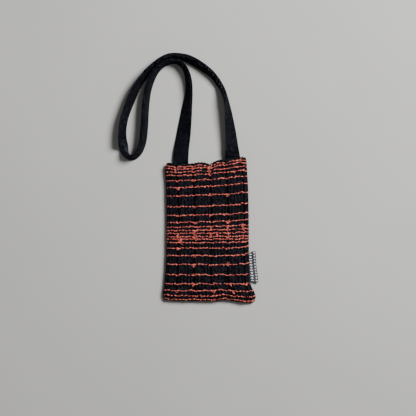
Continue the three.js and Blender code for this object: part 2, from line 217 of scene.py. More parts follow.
LABEL_FLAT_POINTS = 12  # across each layer of a section
LABEL_FOLD_POINTS = 9  # round its fold, with the two that are left out at the ends
LABEL_FOLD_PLACE = 0.4  # how far past the flat part the weave takes the whole fold to be
LABEL_STRETCH = 0.012  # how much wider and narrower the label gets, as a share
LABEL_AT_SEAM = 0.908  # how long the drawn-in label is at the seam and at its fold, as shares
LABEL_AT_FOLD = 0.972
LABEL_CURL = 0.5  # how far its free side rises and falls
LABEL_SWAY = 0.25  # and how far it strays in and out
MARK_ROWS = ((5.3, 1.9), (10.7, 1.2))  # middle and half width of the label's two rows of marks

# The camera and the floor's level, in millimetres in the frame
CAMERA_LENS = 200
CAMERA_SENSOR = 36
VIEW_WIDTH = 557.4
VIEW_MIDDLE = (26.6, -40.3)
VIEW_LEVEL = 8
FLOOR_LEVEL = -0.5

# The lights and the floor's reach, in metres
KEY_PLACE = (0.95, 0.8, 1.5)
KEY_SIZE = 0.8
FILL_PLACE = (-1.1, -0.7, 1.4)
FILL_SIZE = 1.2
FLOOR_REACH = 3


def named_rows(columns, *rows):
    """A table's rows, with their columns named."""
    return [dict(zip(columns.split(), row)) for row in rows]


# Side edges from the bottom up, as shares of half the width
SIDES = named_rows(
    "at left right",
    (0.0, 1.06, 1.15),
    (0.035, 1.085, 1.18),
    (0.07, 1.075, 1.14),
    (0.1, 1.06, 1.085),
    (0.14, 1.045, 1.04),
    (0.24, 1.02, 1.025),
    (0.36, 1.005, 1.015),
    (0.6, 1.0, 1.01),
    (0.8, 1.008, 0.995),
    (0.9, 1.022, 0.975),
    (0.965, 1.04, 0.96),
    (1.0, 1.01, 0.945),
)

# The mouth's rim and the bottom edge from left to right, as shares of the height
RIM = named_rows(
    "at rise",
    (0.0, -0.008),
    (0.03, 0.004),
    (0.1, -0.007),
    (0.25, -0.007),
    (0.4, 0.005),
    (0.48, 0.004),
    (0.55, -0.006),
    (0.595, 0.008),
    (0.65, 0.021),
    (0.84, 0.037),
    (0.95, 0.045),
    (1.0, 0.037),
)
BOTTOM = named_rows(
    "at rise",
    (0.0, 0.014),
    (0.03, 0.012),
    (0.125, 0.008),
    (0.25, 0.006),
    (0.38, 0.004),
    (0.54, 0.004),
    (0.665, 0.012),
    (0.77, 0.004),
    (0.84, -0.003),
    (0.91, -0.008),
    (0.965, -0.006),
    (1.0, 0.002),
)
PUFF = named_rows(
    "at share",
    (0.0, 0.9),
    (0.1, 1.0),
    (0.45, 0.94),
    (0.8, 0.97),
    (1.0, 1.02),
)

# The slub stripes from the mouth down: their height at the left and the right seam, as shares
STRIPES = named_rows(
    "left right",
    (0.9785, 0.979),
    (0.962, 0.963),
    (0.939, 0.936),
    (0.9165, 0.909),
    (0.876, 0.87),
    (0.8255, 0.821),
    (0.765, 0.76),
    (0.6855, 0.684),
    (0.622, 0.621),
    (0.569, 0.572),
    (0.5355, 0.535),
    (0.51, 0.509),
    (0.4905, 0.486),
    (0.4655, 0.46),
    (0.4485, 0.438),
    (0.422, 0.42),
    (0.3815, 0.388),
    (0.327, 0.34),
    (0.2625, 0.276),
    (0.187, 0.196),
    (0.122, 0.131),
    (0.0745, 0.081),
    (0.0395, 0.046),
    (0.012, 0.0145),
)

# The knots of the slub yarn: the stripe, counted from the mouth, the place across as a share of the
# width, how thick the yarn is there and how far the knot hangs below its stripe
NUBS = named_rows(
    "stripe at size drop",
    (1, 0.54, 1.1, 1.5),
    (2, 0.34, 1.0, 2.0),
    (2, 0.13, 1.0, 1.5),
    (2, 0.54, 1.2, 2.5),
    (3, 0.54, 1.2, 3.0),
    (4, 0.54, 1.2, 2.0),
    (4, 0.85, 1.1, 1.5),
    (5, 0.34, 1.2, 2.0),
    (6, 0.145, 1.3, 3.0),
    (6, 0.33, 1.1, -1.5),
    (7, 0.06, 1.0, 1.5),
    (7, 0.74, 1.2, 3.0),
    (8, 0.05, 1.4, 1.0),
    (8, 0.34, 1.1, 2.0),
    (9, 0.53, 1.2, 2.5),
    (9, 0.7, 1.3, 1.0),
    (10, 0.345, 1.1, 2.5),
    (10, 0.74, 1.1, 3.0),
    (11, 0.535, 1.2, 4.0),
    (11, 0.74, 1.1, 3.5),
    (11, 0.93, 1.2, 3.0),
    (12, 0.337, 1.1, 3.0),
    (12, 0.935, 1.2, 3.0),
    (13, 0.14, 1.2, 5.0),
    (13, 0.61, 1.1, 2.5),
    (13, 0.535, 1.1, 3.5),
    (14, 0.74, 1.1, 3.0),
    (14, 0.93, 1.1, 2.5),
    (15, 0.175, 1.1, 3.0),
    (15, 0.365, 1.1, 2.5),
    (17, 0.145, 1.3, 2.0),
    (17, 0.745, 1.3, 1.5),
    (18, 0.345, 1.3, 2.0),
    (19, 0.345, 1.3, 3.0),
    (19, 0.745, 1.1, 2.5),
    (19, 0.745, 1.0, -2.5),
    (21, 0.337, 1.1, 3.0),
    (21, 0.76, 1.1, 3.0),
    (21, 0.955, 1.1, 2.0),
    (22, 0.145, 1.1, 2.5),
    (22, 0.55, 1.3, 3.0),
    (22, 0.76, 1.3, 3.5),
)

# Loose tails of the yarn that cross from one stripe to another, as shares of the width and height
TAILS = named_rows(
    "start end",
    ((0.132, 0.465), (0.185, 0.412)),
    ((0.347, 0.484), (0.38, 0.445)),
    ((0.736, 0.492), (0.752, 0.445)),
    ((0.608, 0.492), (0.615, 0.465)),
    ((0.42, 0.968), (0.44, 0.955)),
)

# The laid strap from its left end: across as a share of the spread, up of the reach, how much of the
# band's width shows from above, and where its highest line runs, from 1 at its right-hand edge to -1
ROUTE = named_rows(
    "across up seen ridge",
    (-0.312, -0.017, 1, 1),
    (-0.305, 0.111, 0.98, 1),
    (-0.274, 0.291, 0.9, 0.9),
    (-0.243, 0.479, 0.71, 0.75),
    (-0.214, 0.668, 0.47, 0.65),
    (-0.221, 0.8, 0.39, 0.65),
    (-0.262, 0.899, 0.29, 0.65),
    (-0.329, 0.951, 0.285, 0.65),
    (-0.41, 0.964, 0.285, 0.65),
    (-0.51, 0.937, 0.31, 0.65),
    (-0.597, 0.876, 0.375, 0.65),
    (-0.659, 0.781, 0.4, 0.65),
    (-0.701, 0.668, 0.42, 0.65),
    (-0.724, 0.517, 0.43, 0.65),
    (-0.736, 0.347, 0.44, 0.65),
    (-0.752, 0.22, 0.43, 0.65),
    (-0.779, 0.14, 0.4, 0.65),
    (-0.816, 0.088, 0.365, 0.65),
    (-0.868, 0.057, 0.325, 0.75),
    (-0.926, 0.066, 0.35, 0.8),
    (-0.964, 0.111, 0.5, 0.4),
    (-0.979, 0.163, 0.58, -0.3),
    (-0.989, 0.22, 0.51, -1),
    (-0.99, 0.31, 0.455, -1),
    (-0.967, 0.423, 0.445, -1),
    (-0.929, 0.517, 0.46, -1),
    (-0.884, 0.611, 0.5, -1),
    (-0.82, 0.725, 0.44, -0.95),
    (-0.754, 0.805, 0.42, -0.9),
    (-0.673, 0.88, 0.4, -0.8),
    (-0.574, 0.953, 0.35, -0.7),
    (-0.486, 0.998, 0.3, -0.6),
    (-0.393, 1.013, 0.3, -0.55),
    (-0.259, 0.996, 0.39, -0.5),
    (-0.172, 0.964, 0.47, -0.45),
    (-0.093, 0.927, 0.47, -0.4),
    (-0.015, 0.883, 0.44, -0.35),
    (0.058, 0.835, 0.36, -0.25),
    (0.129, 0.76, 0.34, -0.05),
    (0.181, 0.687, 0.28, 0.35),
    (0.218, 0.583, 0.325, 0.75),
    (0.245, 0.47, 0.445, 0.95),
    (0.269, 0.31, 0.655, 1),
    (0.286, 0.149, 0.84, 1),
    (0.293, 0.059, 0.98, 1),
    (0.295, -0.017, 1, 1),
)


def hermite(t, start, end, leaving, arriving):
    """A smooth line from a start to an end, with its slopes at both."""
    square = t * t
    cube = square * t
    return (
        (2 * cube - 3 * square + 1) * start
        + (cube - 2 * square + t) * leaving
        + (3 * square - 2 * cube) * end
        + (cube - square) * arriving
    )


def along(table, column, at):
    """The column of a table at any shares, on a smooth line through its rows."""
    at = np.asarray(at, float)
    place = np.array([row["at"] for row in table])
    value = np.array([row[column] for row in table])
    last = len(table) - 1
    before = np.maximum(np.arange(last + 1) - 1, 0)
    after = np.minimum(np.arange(last + 1) + 1, last)
    slope = (value[after] - value[before]) / (place[after] - place[before])
    k = np.clip(np.searchsorted(place, at, side="right") - 1, 0, last - 1)
    span = place[k + 1] - place[k]
    t = (at - place[k]) / span
    return hermite(t, value[k], value[k + 1], span * slope[k], span * slope[k + 1])


def smoothstep(t):
    """A smooth climb from 0 to 1."""
    t = np.clip(t, 0, 1)
    return t * t * (3 - 2 * t)


def roll(distance, width):
    """A quarter round, 0 at the seam and 1 at the end of the roll."""
    t = np.clip(distance / width, 0, 1)
    return np.sqrt(1 - (1 - t) ** 2)


def linear(colour):
    """An sRGB colour such as "#c0504a" as linear red, green and blue."""
    parts = [int(colour[i : i + 2], 16) / 255 for i in (1, 3, 5)]
    return tuple(c / 12.92 if c <= 0.04045 else ((c + 0.055) / 1.055) ** 2.4 for c in parts)


def rolled(u, v, width):
    """How far a panel has rolled away from its seams, from 0 on them to 1."""
    side = np.minimum(u, 1 - u) * POUCH_WIDTH
    return roll(side, width) * roll(v * POUCH_HEIGHT, width)


def plan(u, v, rim_drop):
    """Where a point of a panel lies, seen from above."""
    left = -along(SIDES, "left", v) * POUCH_WIDTH / 2
    right = along(SIDES, "right", v) * POUCH_WIDTH / 2
    bottom = POUCH_HEIGHT * (along(BOTTOM, "rise", u) - 0.5)
    rim = POUCH_HEIGHT * (along(RIM, "rise", u) + 0.5) - rim_drop
    return left + (right - left) * u, bottom + (rim - bottom) * v


def dimple(u, v):
    """How deep the dimple round the tack is."""
    across = (u - DIMPLE_ACROSS) * POUCH_WIDTH
    down = (1 - v) * POUCH_HEIGHT - DIMPLE_BELOW_MOUTH
    return DIMPLE_DEPTH * (1 - smoothstep(np.hypot(across, down) / DIMPLE_RADIUS))


def seam_gap(u, v):
    """Half of the gap between the panels, which opens round the label."""
    middle = LABEL_TOP - LABEL_LENGTH / 2 / POUCH_HEIGHT
    from_middle = np.abs(v - middle) * POUCH_HEIGHT
    beside = 1 - smoothstep((from_middle - LABEL_LENGTH / 2) / GAP_FADE)
    inside = 1 - smoothstep(((1 - u) * POUCH_WIDTH - LABEL_TUCK - LABEL_MARGIN) / GAP_FADE)
    return SEAM_CLEARANCE + beside * inside * LABEL_THICKNESS * LABEL_ROOM


def unevenness(u, v):
    """Slow hills and hollows of washed cloth, about a third of a millimetre."""
    x = u * POUCH_WIDTH
    y = v * POUCH_HEIGHT
    hills = np.sin(x / 9.3 + 1.7 * np.sin(y / 31)) * np.sin(y / 14.1 + 0.8)
    ripples = np.sin(x / 5.1 + y / 23) * np.sin(y / 6.7 + 2.1 * np.sin(x / 17))
    return HILLS * hills + RIPPLES * ripples


def crooked(u, v):
    """Shares across with the sideways waver of hand-woven ribs, none at the seams."""
    x = u * POUCH_WIDTH
    y = v * POUCH_HEIGHT
    shift = CROOK * np.sin(y / 17 + 1.9 * np.sin(x / 31)) + QUICK_CROOK * np.sin(y / 6.1 + x / 13)
    return u + shift / POUCH_WIDTH * smoothstep(np.minimum(u, 1 - u) * POUCH_WIDTH / CROOK_FADE)


def front_surface(u, v):
    """The front's outer face, on the crests of its ribs."""
    x, y = plan(crooked(u, v), v, 0)
    gap = seam_gap(u, v)
    full = FRONT_PUFF * along(PUFF, "share", v) - CLOTH_SINK - gap
    risen = rolled(u, v, FRONT_ROLL)
    z = SEAM_HEIGHT + gap + (full + unevenness(u, v)) * risen - dimple(u, v)
    return np.stack([x, y, z], -1)


def back_surface(u, v):
    """The back's outer face, held just off the floor by its yarns."""
    x, y = plan(crooked(u, v), v, BACK_RIM_DROP)
    z = SEAM_HEIGHT - seam_gap(u, v)
    z = YARN_BED + (z - YARN_BED) * (1 - rolled(u, v, BACK_ROLL))
    return np.stack([x, y, z], -1)


def lining_side(surface, side, u, v):
    """The inner face of a panel, one cloth inside its outer face."""
    inset_u = CLOTH / POUCH_WIDTH + u * (1 - 2 * CLOTH / POUCH_WIDTH)
    inset_v = v + (1 - v) * CLOTH / POUCH_HEIGHT
    face = surface(inset_u, inset_v)
    edge = np.minimum(inset_u, 1 - inset_u) * POUCH_WIDTH - CLOTH
    foot = inset_v * POUCH_HEIGHT - CLOTH
    apart = roll(edge, LINING_ROLL) * roll(foot, LINING_ROLL)
    seam = SEAM_HEIGHT + side * seam_gap(u, v)
    open_by = side * (face[..., 2] - side * CLOTH - seam)
    face[..., 2] = seam + side * np.maximum(open_by, 0) * apart
    return face


def frame_offset():
    """From the pouch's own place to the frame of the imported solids."""
    shares = np.linspace(0, 1, 400)
    start = np.zeros_like(shares)
    left, _ = plan(start, shares, 0)
    _, bottom = plan(shares, start, 0)
    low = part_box("front_panel")[0]
    return np.array([low[0] / MM - left.min(), low[1] / MM - bottom.min(), 0.0])


OFFSET = frame_offset()


def in_frame(points):
    """Points in the pouch's own place, in millimetres, as metres in the frame."""
    return (np.asarray(points, float) + OFFSET) * MM


def into_scene(name, mesh):
    """An object with this mesh, lamp or camera, in the scene."""
    piece = bpy.data.objects.new(name, mesh)
    bpy.context.scene.collection.objects.link(piece)
    return piece


def new_mesh(name, points, faces, facts, material):
    """A smooth mesh object in the frame, with named values at its points."""
    mesh = bpy.data.meshes.new(name)
    mesh.from_pydata(in_frame(points).tolist(), [], faces)
    for fact, values in facts.items():
        layer = mesh.attributes.new(fact, "FLOAT", "POINT")
        layer.data.foreach_set("value", np.asarray(values, np.float32).ravel())
    mesh.polygons.foreach_set("use_smooth", [True] * len(mesh.polygons))
    mesh.materials.append(material)
    return into_scene(name, mesh)


def new_paths(name, paths):
    """Bare lines for a tree to dress, each from its points, how thick it is and how much paler it is
    painted, for fluff and for painted light.
    """
    points = []
    edges = []
    thick = []
    fluff_and_light_values = []
    run = []
    for line, size, fluff_and_light in paths:
        first = len(points)
        steps = np.linalg.norm(np.diff(line, axis=0), axis=1)
        points.extend(in_frame(line).tolist())
        thick.extend(np.broadcast_to(size, len(line)).tolist())
        fluff_and_light_values.extend(np.broadcast_to(fluff_and_light, len(line)).tolist())
        run.extend(np.concatenate([[0], np.cumsum(steps)]).tolist())
        edges.extend((first + i, first + i + 1) for i in range(len(line) - 1))
    mesh = bpy.data.meshes.new(name)
    mesh.from_pydata(points, edges, [])
    for fact, values in (("thick_mm", thick), ("fluff_and_light", fluff_and_light_values), ("run_mm", run)):
        mesh.attributes.new(fact, "FLOAT", "POINT").data.foreach_set("value", values)
    return into_scene(name, mesh)


def add(tree, kind, inputs=None, stops=(), **settings):
    """Adds a node, sets it up and fills its inputs from values, sockets or other nodes."""
    node = tree.nodes.new(kind)
    for name, value in settings.items():
        setattr(node, name, value)
    while 0 < len(stops) > len(node.color_ramp.elements):
        node.color_ramp.elements.new(0.5)
    for number, (place, colour) in enumerate(stops):
        node.color_ramp.elements[number].position = place
        node.color_ramp.elements[number].color = (*colour, 1)
    for key, value in (inputs or {}).items():
        if isinstance(key, int):
            socket = node.inputs[key]
        else:
            socket = next(s for s in node.inputs if s.enabled and s.name == key)
        if isinstance(value, bpy.types.Node):
            value = next(s for s in value.outputs if s.enabled)
        if isinstance(value, bpy.types.NodeSocket):
            tree.links.new(value, socket)
        else:
            socket.default_value = value
    return node


def noise_at(tree, place, scale, detail, gain, shift):
    """Noise at places, multiplied by a gain and shifted."""
    noise = add(tree, "ShaderNodeTexNoise", {"Vector": place, "Scale": scale, "Detail": detail})
    return add(tree, "ShaderNodeMath", {0: noise, 1: gain, 2: shift}, operation="MULTIPLY_ADD")


def wave_along(tree, distance, length, shape="SINE"):
    """A wave along a distance, with one turn to each length."""
    angle = add(tree, "ShaderNodeMath", {0: distance, 1: math.tau / length}, operation="MULTIPLY")
    return add(tree, "ShaderNodeMath", {0: angle}, operation=shape)


def new_tree(name, numbers, counts=()):
    """A tree of geometry nodes, with a geometry, named numbers, counts and a material going in."""
    tree = bpy.data.node_groups.new(name, "GeometryNodeTree")
    inputs = [("Geometry", "Geometry")]
    inputs.extend((label, "Float") for label in numbers)
    inputs.extend((label, "Int") for label in counts)
    inputs.append(("Material", "Material"))
    for label, kind in inputs:
        tree.interface.new_socket(label, in_out="INPUT", socket_type="NodeSocket" + kind)
    tree.interface.new_socket("Geometry", in_out="OUTPUT", socket_type="NodeSocketGeometry")
    return tree, add(tree, "NodeGroupInput").outputs


def end_tree(tree, geometry, material):
    """Ends a tree in real meshes with their material."""
    real = add(tree, "GeometryNodeRealizeInstances", {"Geometry": geometry})
    smooth = add(tree, "GeometryNodeSetShadeSmooth", {"Geometry": real})
    dressed = add(tree, "GeometryNodeSetMaterial", {"Geometry": smooth, "Material": material})
    add(tree, "NodeGroupOutput", {"Geometry": dressed})


def dress(carrier, tree, values):
    """Runs a tree on an object and keeps its result as the object's plain mesh."""
    modifier = carrier.modifiers.new(tree.name, "NODES")
    modifier.node_group = tree
    for item in tree.interface.items_tree:
        if item.in_out == "INPUT" and item.name in values:
            modifier[item.identifier] = values[item.name]
    graph = bpy.context.evaluated_depsgraph_get()
    shown = carrier.evaluated_get(graph)
    mesh = bpy.data.meshes.new_from_object(shown, preserve_all_data_layers=True, depsgraph=graph)
    carrier.modifiers.remove(modifier)
    bare = carrier.data
    carrier.data = mesh
    bpy.data.meshes.remove(bare)
    mesh.name = carrier.name
    return carrier


def seat(piece, slot, *nodes):
    """Puts a finished piece on the pouch's body and hides the solids it stands for; the slot is not used.
    """
    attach(piece, BODY)
    if nodes:
        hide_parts(*nodes)


# Trees of geometry nodes


def rib_grooves(tree, given, metres):
    """How deep the cloth is between its ribs, which stray aside, are lumpy and unevenly drawn in."""
    place = add(tree, "GeometryNodeInputPosition")
    aside = noise_at(tree, place, 70.0, 1.0, 2.0, -1.0)
    strayed = add(
        tree, "ShaderNodeMath", {0: aside, 1: given["Waver"], 2: metres}, operation="MULTIPLY_ADD"
    )
    far = add(tree, "ShaderNodeMath", {0: strayed, 1: given["First Pucker"]}, operation="SUBTRACT")
    turns = add(tree, "ShaderNodeMath", {0: far, 1: given["Rib Pitch"]}, operation="DIVIDE")
    angle = add(tree, "ShaderNodeMath", {0: turns, 1: math.pi}, operation="MULTIPLY")
    wave = add(tree, "ShaderNodeMath", {0: angle}, operation="SINE")
    crest = add(tree, "ShaderNodeMath", {0: wave}, operation="ABSOLUTE")
    rounded = add(tree, "ShaderNodeMath", {0: crest, 1: RIB_ROUNDNESS}, operation="POWER")
    hollow = add(tree, "ShaderNodeMath", {0: 1.0, 1: rounded}, operation="SUBTRACT")
    grain = noise_at(tree, place, 420.0, 2.0, 2.0, -1.0)
    rough = add(tree, "ShaderNodeMath", {0: grain, 1: given["Unevenness"]}, operation="MULTIPLY")
    flattened = add(tree, "ShaderNodeTexNoise", {"Vector": place, "Scale": 75.0, "Detail": 1.5})
    drawn_in = add(
        tree,
        "ShaderNodeMapRange",
        {"Value": flattened, "From Min": 0.32, "From Max": 0.62, "To Min": 0.25, "To Max": 1.25},
    )
    grooved = add(tree, "ShaderNodeMath", {0: hollow, 1: drawn_in}, operation="MULTIPLY")
    uneven = add(tree, "ShaderNodeMath", {0: grooved, 1: rough}, operation="ADD")
    return add(tree, "ShaderNodeMath", {0: uneven, 1: given["Rib Depth"]}, operation="MULTIPLY")


def pucker_grooves(tree, given, metres):
    """How much deeper the cloth is at the puckers."""
    off = add(tree, "ShaderNodeMath", {0: metres, 1: given["First Pucker"]}, operation="SUBTRACT")
    half = add(tree, "ShaderNodeMath", {0: given["Pucker Pitch"], 1: 0.5}, operation="MULTIPLY")
    beside = add(tree, "ShaderNodeMath", {0: off, 1: half}, operation="PINGPONG")
    reach = add(tree, "ShaderNodeMath", {0: given["Pucker Width"], 1: 0.5}, operation="MULTIPLY")
    return add(
        tree,
        "ShaderNodeMapRange",
        {"Value": beside, "From Max": reach, "To Min": given["Pucker Depth"], "To Max": 0.0},
        interpolation_type="SMOOTHSTEP",
    )


def ribbed_cloth_tree():
    """Presses ribs, and the deeper puckers between groups of them, into smooth cloth."""
    of_ribs = ("Rib Pitch", "Rib Depth", "Unevenness", "Waver")
    of_puckers = ("Pucker Pitch", "Pucker Width", "Pucker Depth", "First Pucker")
    tree, given = new_tree("Ribbed cloth", of_ribs + of_puckers)
    across = add(tree, "GeometryNodeInputNamedAttribute", {"Name": "across_mm"})
    share = add(tree, "GeometryNodeInputNamedAttribute", {"Name": "rib_share"})
    metres = add(tree, "ShaderNodeMath", {0: across, 1: MM}, operation="MULTIPLY")
    between = rib_grooves(tree, given, metres)
    puckers = pucker_grooves(tree, given, metres)
    both = add(tree, "ShaderNodeMath", {0: between, 1: puckers}, operation="ADD")
    depth = add(tree, "ShaderNodeMath", {0: both, 1: share}, operation="MULTIPLY")
    # How deep each place lies, as a share of the rib depth, kept for the painted shade in the grooves
    shade = add(tree, "ShaderNodeMath", {0: depth, 1: given["Rib Depth"]}, operation="DIVIDE")
    noted = add(
        tree,
        "GeometryNodeStoreNamedAttribute",
        {"Geometry": given["Geometry"], "Name": "hollow", "Value": shade},
        data_type="FLOAT",
        domain="POINT",
    )
    back = add(tree, "ShaderNodeMath", {0: depth, 1: -1.0}, operation="MULTIPLY")
    inwards = add(
        tree,
        "ShaderNodeVectorMath",
        {0: add(tree, "GeometryNodeInputNormal"), "Scale": back},
        operation="SCALE",
    )
    pressed = add(tree, "GeometryNodeSetPosition", {"Geometry": noted, "Offset": inwards})
    end_tree(tree, pressed, given["Material"])
    return tree


def yarn_radius(tree, given, place, fine):
    """Half of the yarn's thickness, as it swells and thins."""
    finer = add(tree, "ShaderNodeMath", {0: fine, 1: 0.9}, operation="MULTIPLY")
    swell = noise_at(tree, place, finer, 2.0, 2.0, -1.0)
    factor = add(
        tree, "ShaderNodeMath", {0: swell, 1: given["Swelling"], 2: 1.0}, operation="MULTIPLY_ADD"
    )
    thick = add(tree, "GeometryNodeInputNamedAttribute", {"Name": "thick_mm"})
    metres = add(tree, "ShaderNodeMath", {0: thick, 1: MM}, operation="MULTIPLY")
    return add(tree, "ShaderNodeMath", {0: metres, 1: factor}, operation="MULTIPLY")


def lumpy_yarn(tree, given, place, fine, tube):
    """Pushes small lumps out of a yarn, and keeps it from going below its lowest level."""
    fibre = add(tree, "ShaderNodeMath", {0: fine, 1: 4.0}, operation="MULTIPLY")
    lump = noise_at(tree, place, fibre, 1.0, 2.0, -1.0)
    height = add(tree, "ShaderNodeMath", {0: lump, 1: given["Lumps"]}, operation="MULTIPLY")
    out = add(
        tree,
        "ShaderNodeVectorMath",
        {0: add(tree, "GeometryNodeInputNormal"), "Scale": height},
        operation="SCALE",
    )
    lumpy = add(tree, "GeometryNodeSetPosition", {"Geometry": tube, "Offset": out})
    parts = add(tree, "ShaderNodeSeparateXYZ", {"Vector": place})
    above = add(tree, "ShaderNodeMath", {0: parts.outputs["Z"], 1: given["Lowest"]}, operation="MAXIMUM")
    lying = add(
        tree,
        "ShaderNodeCombineXYZ",
        {"X": parts.outputs["X"], "Y": parts.outputs["Y"], "Z": above},
    )
    return add(tree, "GeometryNodeSetPosition", {"Geometry": lumpy, "Position": lying})


def yarn_tree():
    """Turns bare lines into uneven yarn that wanders, swells and is lumpy."""
    numbers = ("Step", "Wander", "Swelling", "Lumps", "Slub Length", "Seed", "Lowest")
    tree, given = new_tree("Yarn", numbers, ("Sides",))
    line = add(tree, "GeometryNodeMeshToCurve", {"Mesh": given["Geometry"]})
    even = add(
        tree, "GeometryNodeResampleCurve", {"Curve": line, "Length": given["Step"]}, mode="LENGTH"
    )
    place = add(tree, "GeometryNodeInputPosition")
    fine = add(tree, "ShaderNodeMath", {0: 1.0, 1: given["Slub Length"]}, operation="DIVIDE")
    drift = add(
        tree,
        "ShaderNodeTexNoise",
        {"Vector": place, "W": given["Seed"], "Scale": fine, "Detail": 1.0},
        noise_dimensions="4D",
    )
    centred = add(
        tree,
        "ShaderNodeVectorMath",
        {0: drift.outputs["Color"], 1: (0.5, 0.5, 0.5)},
        operation="SUBTRACT",
    )
    strayed = add(
        tree, "ShaderNodeVectorMath", {0: centred, "Scale": given["Wander"]}, operation="SCALE"
    )
    moved = add(tree, "GeometryNodeSetPosition", {"Geometry": even, "Offset": strayed})
    radius = yarn_radius(tree, given, place, fine)
    ring = add(tree, "GeometryNodeCurvePrimitiveCircle", {"Resolution": given["Sides"], "Radius": 1.0})
    turned = add(
        tree,
        "GeometryNodeStoreNamedAttribute",
        {"Geometry": ring, "Name": "round", "Value": place},
        data_type="FLOAT_VECTOR",
        domain="POINT",
    )
    tube = add(
        tree,
        "GeometryNodeCurveToMesh",
        {"Curve": moved, "Profile Curve": turned, "Scale": radius, "Fill Caps": True},
    )
    end_tree(tree, lumpy_yarn(tree, given, place, fine, tube), given["Material"])
    return tree


def selvedge_tree():
    """Sets the little loops of weft yarn along the edges of a band."""
    tree, given = new_tree("Selvedge", ("Loop Pitch", "Loop Thickness"))
    line = add(tree, "GeometryNodeMeshToCurve", {"Mesh": given["Geometry"]})
    spots = add(
        tree,
        "GeometryNodeCurveToPoints",
        {"Curve": line, "Length": given["Loop Pitch"]},
        mode="LENGTH",
    )
    bead = add(tree, "GeometryNodeMeshUVSphere", {"Segments": 8, "Rings": 5, "Radius": 0.5})
    size = add(
        tree,
        "ShaderNodeCombineXYZ",
        {"X": given["Loop Thickness"], "Y": given["Loop Thickness"], "Z": given["Loop Pitch"]},
    )
    uneven = add(
        tree, "FunctionNodeRandomValue", {"Min": 0.8, "Max": 1.12, "Seed": 5}, data_type="FLOAT"
    )
    varied = add(tree, "ShaderNodeVectorMath", {0: size, "Scale": uneven}, operation="SCALE")
    loops = add(
        tree,
        "GeometryNodeInstanceOnPoints",
        {
            "Points": spots,
            "Instance": bead,
            "Rotation": spots.outputs["Rotation"],
            "Scale": varied,
        },
    )
    real = add(tree, "GeometryNodeRealizeInstances", {"Geometry": loops})
    # The edge loops are marked for a painted highlight
    painted_highlight = add(
        tree,
        "GeometryNodeStoreNamedAttribute",
        {"Geometry": real, "Name": "painted_highlight", "Value": 1.0},
        data_type="FLOAT",
        domain="POINT",
    )
    end_tree(tree, painted_highlight, given["Material"])
    return tree


# Materials, with the scales of their noises per metre, so 500 gives patches of 2 mm


def new_material(name):
    """An empty node material with its shader linked to its output."""
    material = bpy.data.materials.new(name)
    material.use_nodes = True
    tree = material.node_tree
    tree.nodes.clear()
    shader = add(tree, "ShaderNodeBsdfPrincipled")
    add(tree, "ShaderNodeOutputMaterial", {"Surface": shader})
    return material, tree, shader


def finish_shader(tree, shader, tone, stops, relief, values):
    """Colours a shader by its tone, gives it relief and sets its uniform values."""
    height, strength, depth = relief
    colour = add(tree, "ShaderNodeValToRGB", {"Fac": tone}, stops=stops)
    bump = add(
        tree, "ShaderNodeBump", {"Height": height, "Strength": strength, "Distance": depth}
    )
    tree.links.new(colour.outputs[0], shader.inputs["Base Color"])
    tree.links.new(bump.outputs[0], shader.inputs["Normal"])
    for name, value in values.items():
        shader.inputs[name].default_value = value


def ribbed_cotton(look):
    """Black cotton in ribs, woven and washed: matte and fuzzy, with painted shade on the sides of the
    ribs and down in the hollows between them.
    """
    material, tree, shader = new_material("black ribbed cotton, woven")
    place = add(tree, "ShaderNodeTexCoord").outputs["Object"]
    depth = add(tree, "ShaderNodeAttribute", attribute_name="hollow").outputs["Fac"]
    length = add(tree, "ShaderNodeAttribute", attribute_name="up_mm").outputs["Fac"]
    worn = noise_at(tree, place, 320.0, 3.0, 1.8, -0.8)
    dusty = noise_at(tree, place, 560.0, 2.0, 2.4, -1.2)
    mottle = add(tree, "ShaderNodeMath", {0: worn, 1: dusty}, operation="ADD")
    # Painted shade: the colour darkens from the cotton's own on the crests to the flank and hollow
    # colours, the deeper a place lies between the ribs
    tone = add(tree, "ShaderNodeMath", {0: depth, 1: 0.6, 2: mottle}, operation="MULTIPLY_ADD")
    stops = [(0.0, look.crest), (0.4, look.flank_shade), (0.85, look.hollow)]
    # The real weft is about half a millimetre, drawn at more than twice that to show
    pick = wave_along(tree, length, WEFT_DRAWN)
    raised = add(tree, "ShaderNodeMath", {0: pick, 1: 0.45}, operation="MULTIPLY")
    fuzz = add(tree, "ShaderNodeTexNoise", {"Vector": place, "Scale": 2400.0, "Detail": 3.0})
    height = add(tree, "ShaderNodeMath", {0: fuzz, 1: 1.5, 2: raised}, operation="MULTIPLY_ADD")
    relief = (height, 0.8, look.nap)
    values = {
        "Roughness": 0.95,
        "Specular IOR Level": 0.06,
        "Sheen Weight": 0.03,
        "Sheen Roughness": 0.5,
        "Sheen Tint": (*linear("#8a8fa6"), 1),
    }
    finish_shader(tree, shader, tone, stops, relief, values)
    return material


